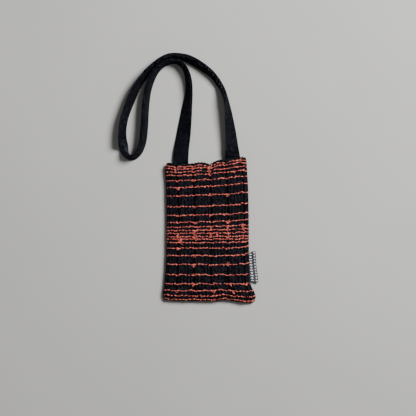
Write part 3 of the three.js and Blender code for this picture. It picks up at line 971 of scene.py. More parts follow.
def slub_cotton(look):
    """Dyed slub yarn, loosely spun: soft and uneven in colour, with painted shade between its turns,
    painted light high on the ribs and paler fluffy loops.
    """
    material, tree, shader = new_material("coral slub yarn, loosely spun")
    place = add(tree, "ShaderNodeTexCoord").outputs["Object"]
    run = add(tree, "ShaderNodeAttribute", attribute_name="run_mm").outputs["Fac"]
    ring = add(tree, "ShaderNodeAttribute", attribute_name="round").outputs["Vector"]
    spiral = add(
        tree,
        "ShaderNodeCombineXYZ",
        {
            "X": wave_along(tree, run, look.twist / MM),
            "Y": wave_along(tree, run, look.twist / MM, "COSINE"),
        },
    )
    twist = add(tree, "ShaderNodeVectorMath", {0: spiral, 1: ring}, operation="DOT_PRODUCT")
    mottle = add(tree, "ShaderNodeTexNoise", {"Vector": place, "Scale": 380.0, "Detail": 3.0})
    fluff_and_light = add(tree, "ShaderNodeAttribute", attribute_name="fluff_and_light").outputs["Fac"]
    # Paler where the yarn is marked fluffy or lit: painted light high on the ribs, painted shade down in
    # the grooves
    paler = add(tree, "ShaderNodeMath", {0: fluff_and_light, 1: 0.16, 2: mottle}, operation="MULTIPLY_ADD")
    # Painted shade between the turns of the spinning, lighter on them
    tone = add(tree, "ShaderNodeMath", {0: twist, 1: 0.08, 2: paler}, operation="MULTIPLY_ADD")
    # The deep colour stands for painted shade, the lit colour for painted light and the tip colour for a
    # painted highlight; the body colour is the dye
    stops = [(0.34, look.deep), (0.45, look.body), (0.56, look.lit), (0.66, look.tip_highlight)]
    fibre = add(tree, "ShaderNodeTexNoise", {"Vector": place, "Scale": 3200.0, "Detail": 3.0})
    laid = add(tree, "ShaderNodeMath", {0: twist, 1: 0.6}, operation="MULTIPLY")
    height = add(tree, "ShaderNodeMath", {0: fibre, 1: 1.2, 2: laid}, operation="MULTIPLY_ADD")
    relief = (height, 0.8, 0.25 * MM)
    values = {
        "Roughness": 0.85,
        "Specular IOR Level": 0.25,
        "Sheen Weight": 0.2,
        "Sheen Tint": (*linear("#f6b49c"), 1),
    }
    finish_shader(tree, shader, tone, stops, relief, values)
    return material


def webbing_cotton(look):
    """Black cotton webbing in a thick plain weave: matte, with small grey specks, and painted highlights
    on its edge loops and at the kink.
    """
    material, tree, shader = new_material("black cotton webbing, plain weave")
    place = add(tree, "ShaderNodeTexCoord").outputs["Object"]
    across = add(tree, "ShaderNodeAttribute", attribute_name="across_mm").outputs["Fac"]
    run = add(tree, "ShaderNodeAttribute", attribute_name="run_mm").outputs["Fac"]
    # The real weave is finer than a millimetre and is drawn at about twice that to show
    warp = wave_along(tree, across, 2 * look.warp_pitch / MM)
    weft = wave_along(tree, run, 2 * look.weft_pitch / MM)
    weave = add(tree, "ShaderNodeMath", {0: warp, 1: weft}, operation="MULTIPLY")
    crown = add(tree, "ShaderNodeMath", {0: weave}, operation="ABSOLUTE")
    painted_highlight = add(tree, "ShaderNodeAttribute", attribute_name="painted_highlight").outputs["Fac"]
    patchy = noise_at(tree, place, 600.0, 2.0, 2.0, -0.69)
    woven = add(tree, "ShaderNodeMath", {0: weave, 1: 0.6, 2: patchy}, operation="MULTIPLY_ADD")
    # Painted highlight on the edge loops and at the kink
    tone = add(tree, "ShaderNodeMath", {0: painted_highlight, 1: 0.34, 2: woven}, operation="MULTIPLY_ADD")
    stops = [(0.3, look.dark), (0.52, look.body), (0.8, look.speck), (1.0, look.fleck_and_highlight)]
    fuzz = add(tree, "ShaderNodeTexNoise", {"Vector": place, "Scale": 2600.0, "Detail": 2.0})
    height = add(tree, "ShaderNodeMath", {0: fuzz, 1: 0.5, 2: crown}, operation="MULTIPLY_ADD")
    relief = (height, 1.0, 0.5 * MM)
    values = {
        "Roughness": 0.9,
        "Specular IOR Level": 0.04,
        "Sheen Weight": 0.02,
        "Sheen Tint": (*linear("#8a8fa6"), 1),
    }
    finish_shader(tree, shader, tone, stops, relief, values)
    return material


def label_weave(look):
    """A polyester label in a fine satin weave: smooth, with two rows of pale lozenges and bars."""
    material, tree, shader = new_material("woven polyester label, satin")
    place = add(tree, "ShaderNodeTexCoord").outputs["Object"]
    across = add(tree, "ShaderNodeAttribute", attribute_name="across_mm").outputs["Fac"]
    run = add(tree, "ShaderNodeAttribute", attribute_name="run_mm").outputs["Fac"]
    shown = 0.0
    for row, (centre, half) in enumerate(MARK_ROWS):
        turns = add(
            tree,
            "ShaderNodeMath",
            {0: run, 1: MM / look.mark_pitch, 2: 0.5 * row},
            operation="MULTIPLY_ADD",
        )
        tall = add(tree, "ShaderNodeMath", {0: turns, 1: 0.5}, operation="PINGPONG")
        off = add(tree, "ShaderNodeMath", {0: across, 1: centre}, operation="SUBTRACT")
        wide = add(tree, "ShaderNodeMath", {0: off}, operation="ABSOLUTE")
        share = add(tree, "ShaderNodeMath", {0: wide, 1: half}, operation="DIVIDE")
        lozenge = add(tree, "ShaderNodeMath", {0: tall, 1: 2.4, 2: share}, operation="MULTIPLY_ADD")
        long = add(tree, "ShaderNodeMath", {0: tall, 1: 5.0}, operation="MULTIPLY")
        bar = add(tree, "ShaderNodeMath", {0: long, 1: share}, operation="MAXIMUM")
        # Every other mark is a bar
        number = add(tree, "ShaderNodeMath", {0: turns}, operation="ROUND")
        parity = add(tree, "ShaderNodeMath", {0: number, 1: 1.0}, operation="PINGPONG")
        edge = add(
            tree,
            "ShaderNodeMix",
            {"Factor": parity, "A": lozenge, "B": bar},
            data_type="FLOAT",
        )
        mark = add(
            tree,
            "ShaderNodeMapRange",
            {"Value": edge, "From Min": 0.85, "From Max": 1.1, "To Min": 1.0, "To Max": 0.0},
        )
        shown = add(tree, "ShaderNodeMath", {0: mark, 1: shown}, operation="MAXIMUM")
    worn = noise_at(tree, place, 700.0, 2.0, 0.5, -0.25)
    tone = add(tree, "ShaderNodeMath", {0: shown, 1: worn}, operation="ADD")
    stops = [(0.15, look.ground), (0.85, look.mark)]
    # The real picks are finer too
    thread = wave_along(tree, run, LABEL_PICK)
    fine = add(tree, "ShaderNodeMath", {0: thread, 1: 0.4}, operation="MULTIPLY")
    height = add(tree, "ShaderNodeMath", {0: shown, 1: 0.6, 2: fine}, operation="MULTIPLY_ADD")
    finish_shader(tree, shader, tone, stops, (height, 0.5, 0.2 * MM), {"Roughness": 0.6})
    return material


def sewing_thread():
    """Black twisted polyester sewing thread: a little glossier than the cotton round it."""
    material, tree, shader = new_material("black sewing thread, twisted polyester")
    run = add(tree, "ShaderNodeAttribute", attribute_name="run_mm").outputs["Fac"]
    twist = wave_along(tree, run, THREAD_TURN)
    # Painted shade between the turns of the twist, lighter on them
    tone = add(tree, "ShaderNodeMath", {0: twist, 1: 0.5, 2: 0.5}, operation="MULTIPLY_ADD")
    stops = [(0.0, linear("#060608")), (1.0, linear("#1b1b22"))]
    finish_shader(tree, shader, tone, stops, (twist, 0.6, 0.1 * MM), {"Roughness": 0.55})
    return material


def pale_paper(look):
    """Pale matte paper, with the faintest unevenness of tone."""
    material, tree, shader = new_material("pale paper, matte")
    place = add(tree, "ShaderNodeTexCoord").outputs["Object"]
    cloud = add(tree, "ShaderNodeTexNoise", {"Vector": place, "Scale": 6.0, "Detail": 2.0})
    fibre = add(tree, "ShaderNodeTexNoise", {"Vector": place, "Scale": 900.0, "Detail": 2.0})
    darker = tuple(0.96 * part for part in look.paper)
    stops = [(0.3, darker), (0.7, look.paper)]
    finish_shader(tree, shader, cloud, stops, (fibre, 0.1, 0.05 * MM), {"Roughness": 0.9})
    return material


# Sizes and colours that a user would change


def length_setting(name, description, millimetres):
    """A length that a user can change."""
    return FloatProperty(
        name=name, description=description, default=millimetres * MM, unit="LENGTH"
    )


def share_setting(name, description, share):
    """A share that a user can change."""
    return FloatProperty(name=name, description=description, default=share, subtype="FACTOR")


def strength_setting(name, description, strength):
    """A light's power or strength that a user can change."""
    return FloatProperty(name=name, description=description, default=strength)


def colour_setting(name, description, code):
    """A colour that a user can change."""
    return FloatVectorProperty(
        name=name, description=description, default=linear(code), subtype="COLOR"
    )


class PouchCloth(bpy.types.PropertyGroup):
    """The ribbed cloth of the two panels."""

    rib_pitch: length_setting("Rib pitch", "From the middle of one rib to the next", 4.4)
    rib_depth: length_setting("Rib depth", "How deep the grooves between the ribs are", 1.0)
    pucker_depth: length_setting("Pucker depth", "How much deeper the cloth is at the puckers", 1.1)
    unevenness: share_setting("Unevenness", "How lumpy the ribs are, of their depth", 0.3)
    waver: length_setting("Waver", "How far the ribs stray to either side of their lines", 1.6)
    nap: length_setting("Nap", "Height of the fuzz on the cotton", 0.3)
    # The crest colour is the cotton's own; the flank and hollow colours are painted shade on the sides of
    # the ribs and down between them
    crest: colour_setting("Crest colour", "The cotton on the crests of the ribs", "#202028")
    flank_shade: colour_setting("Flank colour", "The cotton on the sides of the ribs", "#0b0b0e")
    hollow: colour_setting("Hollow colour", "The cotton down between the ribs", "#030304")


class PouchYarn(bpy.types.PropertyGroup):
    """The slub yarn of the stripes."""

    radius: length_setting("Radius", "Half of the yarn's usual thickness", 0.5)
    swelling: share_setting("Swelling", "How much thicker and thinner the yarn gets", 1.7)
    wander: length_setting("Wander", "How far the yarn strays from its line", 2.2)
    lumps: length_setting("Lumps", "Height of the small lumps on the yarn", 0.7)
    slub_length: length_setting("Slub length", "From one thick place to the next", 2.6)
    twist: length_setting("Twist", "Length of one turn of the spinning", 1.9)
    # The deep, lit and tip colours stand for painted shade, painted light and a painted highlight on the
    # yarn; the body colour is its dye
    deep: colour_setting("Deep colour", "The dye in the yarn's dark places", "#8c3a3a")
    body: colour_setting("Body colour", "The dye over most of the yarn", "#cd5a52")
    lit: colour_setting("Lit colour", "The dye in the yarn's light places", "#fd7c6e")
    tip_highlight: colour_setting("Tip colour", "The palest fibres", "#ff9482")


class PouchStrap(bpy.types.PropertyGroup):
    """The webbing of the strap."""

    warp_pitch: length_setting("Warp pitch", "From one cord of the webbing to the next", 1.7)
    weft_pitch: length_setting("Weft pitch", "From one pick of the webbing to the next", 1.8)
    loop_pitch: length_setting("Loop pitch", "From one weft loop on the edges to the next", 2.6)
    loop_thickness: length_setting("Loop thickness", "Thickness of the loops on the edges", 1.6)
    dark: colour_setting("Dark colour", "The webbing's dark yarns", "#010102")
    body: colour_setting("Body colour", "The webbing's usual colour", "#09090d")
    speck: colour_setting("Speck colour", "The crowns of the weave", "#23252f")
    # The fleck colour is reached by the palest specks and by the painted highlight on the edges and at
    # the kink
    fleck_and_highlight: colour_setting("Fleck colour", "Rubbed yarns at the kink and on the edges", "#565a68")


class PouchLabel(bpy.types.PropertyGroup):
    """The woven label in the side seam."""

    ply: length_setting("Ply", "Thickness of one of the label's two layers", 0.38)
    mark_pitch: length_setting("Mark pitch", "From one woven mark to the next", 3.9)
    ground: colour_setting("Ground colour", "The label's ground", "#2e2c39")
    mark: colour_setting("Mark colour", "The woven lozenges and bars", "#e2e2e6")


class PouchStage(bpy.types.PropertyGroup):
    """The floor, the lights and the camera."""

    paper: colour_setting("Paper colour", "The paper on the floor", "#d0cfcc")
    key_power: strength_setting("Key light", "The soft light at the upper right, in watts", 52.0)
    fill_power: strength_setting("Fill light", "The faint light on the other side, in watts", 0.6)
    surround: strength_setting("Surround", "Strength of the even light from all round", 0.15)


# The pouch's panels


def across_cloth(surface, u):
    """Distances across a panel's face, from its middle line to shares of its width."""
    fine = np.linspace(0, 1, FINE_PLACES)
    line = surface(fine, np.full_like(fine, LEVEL_SHARE))[:, [0, 2]]
    steps = np.hypot(*np.diff(line, axis=0).T)
    far = np.concatenate([[0], np.cumsum(steps)])
    return np.interp(u, fine, far - np.interp(0.5, fine, far))


def rib_height(across, rib):
    """How high a place is on its rib, from 0 in the groove to 1 on the crest."""
    return np.abs(np.sin(math.pi * (across - FIRST_PUCKER + POUCH_WIDTH / 2) / rib))


def cloth_columns(surface, rib):
    """A panel's grid lines as shares of its width, evenly set on its ribs, and their places."""
    fine = np.linspace(0, 1, FINE_PLACES)
    far = across_cloth(surface, fine)
    step = rib / RIB_LINES
    first = FIRST_PUCKER - POUCH_WIDTH / 2
    lines = first + step * np.arange(math.ceil((far[0] - first) / step), (far[-1] - first) // step + 1)
    spare = SEAM_SPARE * step
    inner = lines[(lines > far[0] + spare) & (lines < far[-1] - spare)]
    across = np.concatenate([[far[0]], inner, [far[-1]]])
    return np.interp(across, far, fine), across


def cloth_rows(width):
    """A panel's grid lines as shares of its height, close together on the roll at the bottom."""
    turned = np.linspace(0, math.pi / 2, int(2 * width))
    edge = width * (1 - np.cos(turned)) / POUCH_HEIGHT
    last = 1 - CLOTH / 2 / POUCH_HEIGHT
    count = int((last - edge[-1]) * POUCH_HEIGHT / LONG_STEP)
    return np.concatenate([edge, np.linspace(edge[-1], last, count + 1)[1:]])


def rib_shares(u, v):
    """How deep the ribs are over a panel's outer face, its rim and its inner face, from 0 to 1."""
    edge = smoothstep(np.minimum(u, 1 - u) * POUCH_WIDTH / EDGE_FADE)
    foot = smoothstep(v * POUCH_HEIGHT / EDGE_FADE)
    below_rim = (1 - v) * POUCH_HEIGHT
    outside = RIBS_AT_SEAM + (1 - RIBS_AT_SEAM) * edge * foot
    outside *= 1 - (1 - RIBS_AT_RIM) * (1 - smoothstep(below_rim / RIM_FADE))
    in_hem = 1 - smoothstep(below_rim[::-1] / HEM)
    inside = RIBS_INSIDE + (RIBS_IN_HEM - RIBS_INSIDE) * in_hem
    return np.concatenate([outside, np.full((RIM_STEPS, u.shape[1]), RIBS_ON_RIM), inside])


def shell_faces(count, wide, tall):
    """The faces of a shell: its rings of points joined all round, and its two open sides closed."""
    faces = []
    for ring in range(count):
        below = ring * wide
        above = (ring + 1) % count * wide
        faces.extend((below + i, below + i + 1, above + i + 1, above + i) for i in range(wide - 1))
    ladder = [(j, j + 1, count - 2 - j, count - 1 - j) for j in range(tall - 1)]
    ladder.append(tuple(range(tall - 1, count - tall + 1)))
    for column, order in ((0, 1), (wide - 1, -1)):
        faces.extend(tuple(k * wide + column for k in step)[::order] for step in ladder)
    return faces


def panel_shell(name, surface, side, width, look, material):
    """A closed shell of cloth: outer face, rim rolled over at the mouth, and inner face."""
    u, across = cloth_columns(surface, look.rib_pitch / MM)
    v = cloth_rows(width)
    grid_u, grid_v = np.meshgrid(u, v)
    outer = surface(grid_u, grid_v)
    inner = lining_side(surface, side, grid_u, grid_v)[::-1]
    middle = (outer[-1] + inner[0]) / 2
    half = (outer[-1] - inner[0]) / 2
    bulge = CLOTH / 2 + RIM_SCALLOP * (rib_height(across, look.rib_pitch / MM) - 0.5)
    turns = np.linspace(0, math.pi, RIM_STEPS + 2)[1:-1]
    upwards = np.array([0, 1, 0])
    rim = [middle + math.cos(t) * half + math.sin(t) * bulge[:, None] * upwards for t in turns]
    rings = np.concatenate([outer, np.array(rim), inner])
    count, wide = rings.shape[:2]
    length = np.concatenate(
        [v * POUCH_HEIGHT, POUCH_HEIGHT + turns * CLOTH / 2, 2 * POUCH_HEIGHT - v[::-1] * POUCH_HEIGHT]
    )
    faces = shell_faces(count, wide, len(v))
    if side < 0:
        faces = [face[::-1] for face in faces]
    facts = {
        "across_mm": np.broadcast_to(across, (count, wide)),
        "up_mm": np.broadcast_to(length[:, None], (count, wide)),
        "rib_share": rib_shares(grid_u, grid_v),
    }
    piece = new_mesh(name, rings.reshape(-1, 3), faces, facts, material)
    values = {
        "Rib Pitch": look.rib_pitch,
        "Rib Depth": look.rib_depth,
        "Pucker Pitch": PUCKER_PITCH * MM,
        "Pucker Width": PUCKER_WIDTH * MM,
        "Pucker Depth": look.pucker_depth,
        "First Pucker": (FIRST_PUCKER - POUCH_WIDTH / 2) * MM,
        "Unevenness": look.unevenness,
        "Waver": look.waver,
        "Material": material,
    }
    return dress(piece, ribbed_cloth_tree(), values)


class POUCH_OT_panels(bpy.types.Operator):
    """Makes the front and the back of the pouch as shells of ribbed cloth."""

    bl_idname = "pouch.panels"
    bl_label = "Front and back panels"

    def execute(self, context):
        look = context.scene.pouch_cloth
        cotton = ribbed_cotton(look)
        front = panel_shell("front_cloth", front_surface, 1, FRONT_ROLL, look, cotton)
        back = panel_shell("back_cloth", back_surface, -1, BACK_ROLL, look, cotton)
        seat(front, "ribbed_cloth", "front_panel")
        seat(back, "ribbed_cloth", "back_panel")
        return {"FINISHED"}


# The slub yarns


def outward(surface, side, u, v):
    """The outward direction of a panel's smooth face."""
    reach = 0.002
    u_low = np.clip(u - reach, 0, 1)
    u_high = np.clip(u + reach, 0, 1)
    v_low = np.clip(v - reach, 0, 1)
    v_high = np.clip(v + reach, 0, 1)
    along_u = surface(u_high, v) - surface(u_low, v)
    along_v = surface(u, v_high) - surface(u, v_low)
    normal = side * np.cross(along_u, along_v)
    return normal / np.linalg.norm(normal, axis=-1, keepdims=True)


def pucker_nearness(u):
    """How near a place is to the middle of a pucker, from 0 to 1 on it."""
    off = (u * POUCH_WIDTH - FIRST_PUCKER + PUCKER_PITCH / 2) % PUCKER_PITCH - PUCKER_PITCH / 2
    return np.exp(-((off / (PUCKER_WIDTH * PUCKER_HOLD)) ** 2))


def yarn_line(surface, side, u, v, lift):
    """Places on a panel's face, lifted off it, and sunk where the cloth dips."""
    u = np.clip(u, YARN_MARGIN, 1 - YARN_MARGIN)
    v = np.clip(v, YARN_MARGIN, 1 - YARN_MARGIN)
    over = lift - YARN_SINK * pucker_nearness(u)
    return surface(u, v) + outward(surface, side, u, v) * over[..., None]


def stripe_height(number, u):
    """The height share of a stripe, which keeps the waves of the rim and the bottom only near them."""
    row = STRIPES[number - 1]
    v = row["left"]
    low = plan(u, 0.0, 0)[1]
    high = plan(u, 1.0, 0)[1]
    upper = smoothstep((v - MIDDLE_FROM) / MIDDLE_OVER)
    even = EVEN_CLIMB * upper
    rise = even * u + (1 - even) * u ** (LOWER_BEND + (MIDDLE_BEND - LOWER_BEND) * upper)
    topmost = smoothstep((v - TOP_FROM) / TOP_OVER)
    rise = rise + (np.minimum(u / CLIMB_END, 1) ** RIM_BEND - rise) * topmost
    ends = [[plan(side, share, 0)[1] for side in (0.0, 1.0)] for share in (0.0, 1.0)]
    foot_wave = low - ends[0][0] - (ends[0][1] - ends[0][0]) * rise
    rim_wave = high - ends[1][0] - (ends[1][1] - ends[1][0]) * rise
    left = plan(0.0, v, 0)[1]
    right = plan(1.0, row["right"], 0)[1]
    height = left + (right - left) * rise
    below_rim = (1 - v) * POUCH_HEIGHT - RIM_WAVE_START
    height = height + rim_wave * (1 - smoothstep(below_rim / (RIM_WAVE_REACH - RIM_WAVE_START)))
    hump = smoothstep((u - HUMP_START) / (HUMP_TOP - HUMP_START)) - smoothstep((u - HUMP_TOP) / HUMP_FALL)
    height = height + SEAM_HUMP * hump * smoothstep((v - HUMP_FROM) / HUMP_OVER)
    height = height + foot_wave * (1 - smoothstep(v * POUCH_HEIGHT / FOOT_WAVE_REACH))
    return (height - low) / (high - low)


def stripe_lines(surface, side, thick, rib, noise):
    """The long yarn of each stripe, from seam to seam."""
    lines = []
    for number in range(1, len(STRIPES) + 1):
        start = LEFT_START if side > 0 else STRIPE_MARGIN
        u = np.linspace(start, 1 - STRIPE_MARGIN, STRIPE_POINTS)
        v = stripe_height(number, u)
        if side > 0 and LABEL_TOP - LABEL_LENGTH / POUCH_HEIGHT < v[-1] < LABEL_TOP:
            u = u * LABEL_CLEAR
        knots = np.linspace(0, 1, 2 * int(POUCH_WIDTH / rib))
        waver = np.interp(u, knots, noise.normal(0, RIB_WAVER, len(knots)))
        sag = pucker_nearness(u) * noise.uniform(*PUCKER_SAG) + waver
        crest = rib_height(across_cloth(surface, u), rib) ** RIB_ROUNDNESS
        lift = YARN_LIFT * thick - TACK_PULL * tack_nearness(u, v) - RIB_DIP * (1 - crest)
        line = yarn_line(surface, side, u, v - sag / POUCH_HEIGHT, lift)
        # Painted light where the yarn lies high on a rib and painted shade where it goes down into the
        # groove
        lines.append((line, thick * (GROOVE_YARN + CREST_YARN * crest), crest - CREST_LIGHT))
    return lines


def tack_nearness(u, v):
    """How near a place is to the thread tack, from 0 to 1 under it."""
    across = (u - DIMPLE_ACROSS) * POUCH_WIDTH
    up = (1 - v) * POUCH_HEIGHT - DIMPLE_BELOW_MOUTH
    return np.exp(-((across / TACK_WIDTH) ** 2) - (up / TACK_HEIGHT) ** 2)


def loop_line(surface, side, u, v, drop, half):
    """A small loop of yarn that stands out of its stripe and hangs from it."""
    t = np.linspace(-1, 1, LOOP_POINTS)
    hang = 1 - t * t
    u_line = u + half * np.sign(t) * np.abs(t) ** 0.6 / POUCH_WIDTH
    v_line = v - drop * hang / POUCH_HEIGHT
    return yarn_line(surface, side, u_line, v_line, LOOP_LIFT * (0.4 + 0.6 * hang))


def knot_line(u, v, drop, noise):
    """A small tangle of the yarn, a few millimetres wide, round a place on the front."""
    t = np.linspace(0, 1, KNOT_POINTS)
    turns = noise.uniform(*KNOT_TURNS, 3)
    phase = noise.uniform(0, math.tau, 3)
    across = KNOT_REACH * np.sin(math.tau * turns[0] * t + phase[0]) * (0.6 + 0.4 * t)
    up = (0.5 * abs(drop) + 0.4) * np.sin(math.tau * turns[1] * t + phase[1]) - 0.5 * drop
    lift = KNOT_LIFT + KNOT_DEPTH * np.sin(math.tau * turns[2] * t + phase[2])
    return yarn_line(front_surface, 1, u + across / POUCH_WIDTH, v + up / POUCH_HEIGHT, lift)


def tail_lines(thick, noise):
    """The loose tails of yarn on the front."""
    lines = []
    t = np.linspace(0, 1, TAIL_POINTS)
    for tail in TAILS:
        (u_start, v_start), (u_end, v_end) = tail["start"], tail["end"]
        aside = noise.normal(0, TAIL_STRAY, TAIL_POINTS)
        u = u_start + (u_end - u_start) * t + aside / POUCH_WIDTH
        upwards = noise.normal(0, TAIL_WAVER, TAIL_POINTS)
        v = v_start + (v_end - v_start) * t + upwards / POUCH_HEIGHT
        line = yarn_line(front_surface, 1, u, v, TAIL_LIFT + TAIL_RISE * np.sin(math.pi * t))
        lines.append((line, TAIL_THINNESS * thick, TAIL_FLUFF))
    return lines


def loop_lines(surface, side, thick, noise, each):
    """Small loops along every stripe, many of them beside the puckers."""
    lines = []
    for number in range(1, len(STRIPES) + 1):
        for _ in range(each):
            u = noise.uniform(*LOOP_PLACES)
            if noise.uniform() < LOOPS_AT_PUCKERS:
                pucker = FIRST_PUCKER + PUCKER_PITCH * noise.integers(0, PUCKERS)
                u = min((pucker + noise.normal(0, LOOP_STRAY)) / POUCH_WIDTH, LOOP_PLACES[1])
            drop = noise.choice([-1, 1]) * noise.uniform(*LOOP_DROP)
            half = noise.uniform(*LOOP_HALF)
            v = stripe_height(number, u)
            size = thick * noise.uniform(*LOOP_THINNESS)
            lines.append((loop_line(surface, side, u, v, drop, half), size, LOOP_FLUFF))
    return lines


class POUCH_OT_yarns(bpy.types.Operator):
    """Makes the slub yarns of the stripes, with their loops, on both sides of the pouch."""

    bl_idname = "pouch.yarns"
    bl_label = "Slub stripes"

    def execute(self, context):
        look = context.scene.pouch_yarn
        thick = look.radius / MM
        tree = yarn_tree()
        cotton = slub_cotton(look)
        noise = np.random.default_rng(YARN_SEED)
        knots = []
        for nub in NUBS:
            v = stripe_height(nub["stripe"], nub["at"])
            knot = knot_line(nub["at"], v, nub["drop"], noise)
            knots.append((knot, KNOT_THINNESS * thick * nub["size"], KNOT_FLUFF))
        rib = context.scene.pouch_cloth.rib_pitch / MM
        front = stripe_lines(front_surface, 1, thick, rib, noise)
        front += knots + tail_lines(thick, noise)
        front += loop_lines(front_surface, 1, thick, noise, FRONT_LOOPS)
        back = stripe_lines(back_surface, -1, thick, rib, noise)
        back += loop_lines(back_surface, -1, thick, noise, BACK_LOOPS)
        values = {
            "Wander": look.wander,
            "Swelling": look.swelling,
            "Lumps": look.lumps,
            "Slub Length": look.slub_length,
            "Lowest": 0.0,
            "Seed": 3.0,
            "Material": cotton,
        }
        sides = (
            ("front_slubs", front, FRONT_YARN_STEP, FRONT_YARN_SIDES),
            ("back_slubs", back, BACK_YARN_STEP, BACK_YARN_SIDES),
        )
        for name, lines, step, count in sides:
            values.update({"Step": step * MM, "Sides": count})
            seat(dress(new_paths(name, lines), tree, values), "ribbed_cloth")
        return {"FINISHED"}


class POUCH_OT_tack(bpy.types.Operator):
    """Makes the little thread tack that draws the cloth into a dimple under the mouth."""

    bl_idname = "pouch.tack"
    bl_label = "Thread tack"

    def execute(self, context):
        noise = np.random.default_rng(TACK_SEED)
        v = 1 - DIMPLE_BELOW_MOUTH / POUCH_HEIGHT
        lines = []
        for number in range(TACK_THREADS):
            t = np.linspace(-1, 1, THREAD_POINTS)
            turn = noise.uniform(-TACK_TURN, TACK_TURN)
            half = noise.uniform(*TACK_HALF)
            shift = noise.normal(0, TACK_SPREAD, 2)
            across = shift[0] + half * t * math.cos(turn)
            up = shift[1] + half * t * math.sin(turn) + THREAD_SWAY * np.sin(3 * t + number)
            lift = THREAD_LIFT + TACK_RISE * (1 - t**4) + THREAD_STACK * number
            u = DIMPLE_ACROSS + across / POUCH_WIDTH
            line = yarn_line(front_surface, 1, u, v + up / POUCH_HEIGHT, lift)
            lines.append((line, THREAD_RADIUS, 0.0))
        values = {
            "Step": 0.3 * MM,
            "Wander": 0.5 * MM,
            "Swelling": 0.2,
            "Lumps": 0.05 * MM,
            "Slub Length": 2.0 * MM,
            "Sides": 8,
            "Seed": 9.0,
            "Material": sewing_thread(),
        }
        seat(dress(new_paths("thread_tack", lines), yarn_tree(), values), "ribbed_cloth")
        return {"FINISHED"}


# The strap


def tube_faces(count, round_):
    """The faces along a tube of rings of points, without its ends."""
    faces = []
    for ring in range(count - 1):
        here = ring * round_
        there = here + round_
        for k in range(round_):
            after = (k + 1) % round_
            faces.append((here + k, there + k, there + after, here + after))
    return faces


def strap_stations():
    """The strap's middle line at even steps, with its travel, seen share, ridge and distance."""
    rows = np.array([[row["across"], row["up"], row["seen"], row["ridge"]] for row in ROUTE], float)
    rows[:, 0] *= STRAP_SPREAD
    rows[:, 1] = POUCH_HEIGHT / 2 + rows[:, 1] * STRAP_REACH
    tucked = rows[[0, -1]] - [0, STRAP_TUCK, 0, 0]
    rows = np.concatenate([tucked[:1], rows, tucked[1:]])
    rows = np.concatenate([2 * rows[:1] - rows[1:2], rows, 2 * rows[-1:] - rows[-2:-1]])
    t = np.linspace(0, 1, 40, endpoint=False)[:, None]
    parts = []
    for k in range(1, len(rows) - 2):
        before, start, end, after = rows[k - 1 : k + 3]
        parts.append(hermite(t, start, end, (end - before) / 2, (after - start) / 2))
    fine = np.concatenate([*parts, rows[-2:-1]])
    far = np.concatenate([[0], np.cumsum(np.hypot(*np.diff(fine[:, :2], axis=0).T))])
    run = np.linspace(0, far[-1], int(far[-1] / STRAP_STEP) + 1)
    line = np.stack([np.interp(run, far, fine[:, c]) for c in range(4)], -1)
    travel = np.gradient(line[:, :2], axis=0)
    travel /= np.linalg.norm(travel, axis=1, keepdims=True)
    return run, line, travel


def band_across(seen, ridge, places):
    """The band's middle layer across its travel: out, up and slope at each place."""
    fine = np.linspace(-STRAP_WIDTH / 2, STRAP_WIDTH / 2, 121)
    top = ridge * (STRAP_WIDTH / 2 + RIDGE_SOFTNESS)
    side = np.clip((top - fine) / RIDGE_SOFTNESS, -1, 1)
    side = (side[1:] + side[:-1]) / 2
    flat = 0.0
    upright = math.pi / 2
    for _ in range(LEAN_TRIES):
        lean = (flat + upright) / 2
        if np.cos(lean * side).mean() > seen:
            flat = lean
        else:
            upright = lean
    piece = fine[1] - fine[0]
    out = np.concatenate([[0], np.cumsum(piece * np.cos(flat * side))])
    up = np.concatenate([[0], np.cumsum(piece * np.sin(flat * side))])
    out -= out[-1] / 2
    slope = flat * np.concatenate([side[:1], side])
    return [np.interp(places, fine, values) for values in (out, up, slope)]


def band_places():
    """Places across the band, closer together at its rounded edges, and how thick it is there."""
    half = STRAP_WIDTH / 2
    inner = np.linspace(-half + BAND_INSET, half - BAND_INSET, BAND_LINES)
    places = np.concatenate([[-half, -half + EDGE_ROUND], inner, [half - EDGE_ROUND, half]])
    thick = np.ones(len(places))
    thick[[0, -1]] = 0
    thick[[1, -2]] = EDGE_FULLNESS
    return places, thick


def band_section(seen, ridge, places, thick, run, near_kink):
    """Round the band at a place of its run: out and up, over the top and back underneath."""
    half = thick * STRAP_THICKNESS / 2
    out, up, slope = band_across(min(seen, 1), np.clip(ridge, -1, 1), places)
    waver = BAND_WAVER * np.sin(run / 5.3 + places / 4.1) * np.sin(run / 17)
    creases = np.sin(run / 1.1 + places / 2.3) * np.sin(places / 1.9 - run / 3.1)
    up = up + waver + CREASE_HEIGHT * near_kink * creases
    upper = np.stack([out - half * np.sin(slope), up + half * np.cos(slope)], -1)
    lower = np.stack([out + half * np.sin(slope), up - half * np.cos(slope)], -1)
    return np.concatenate([upper[::-1], lower[1:-1]])


def strap_rings(run, places, thick, line, travel):
    """The band's sections along its laid route, and how much painted highlight it has at each of them."""
    row = ROUTE[KINK_ROW]
    kink = (row["across"] * STRAP_SPREAD, POUCH_HEIGHT / 2 + row["up"] * STRAP_REACH)
    rings = []
    highlight_share = []
    for number, (x, y, seen, ridge) in enumerate(line):
        near_kink = math.exp(-((math.dist((x, y), kink) / KINK_REACH) ** 2))
        highlight_share.append(KINK_HIGHLIGHT * near_kink)
        section = band_section(seen, ridge, places, thick, run[number], near_kink)
        from_end = min(run[number], run[-1] - run[number])
        landed = smoothstep((from_end - STRAP_OVER_BACK) / STRAP_LANDING)
        lying = (CLOTH + SEWN_GAP) * (1 - landed)
        section[:, 1] += lying - section[:, 1].min()
        across = np.array([travel[number, 1], -travel[number, 0]])
        flat = np.array([x, y]) + section[:, :1] * across
        rings.append(np.concatenate([flat, section[:, 1:]], 1))
    return np.array(rings), np.array(highlight_share)


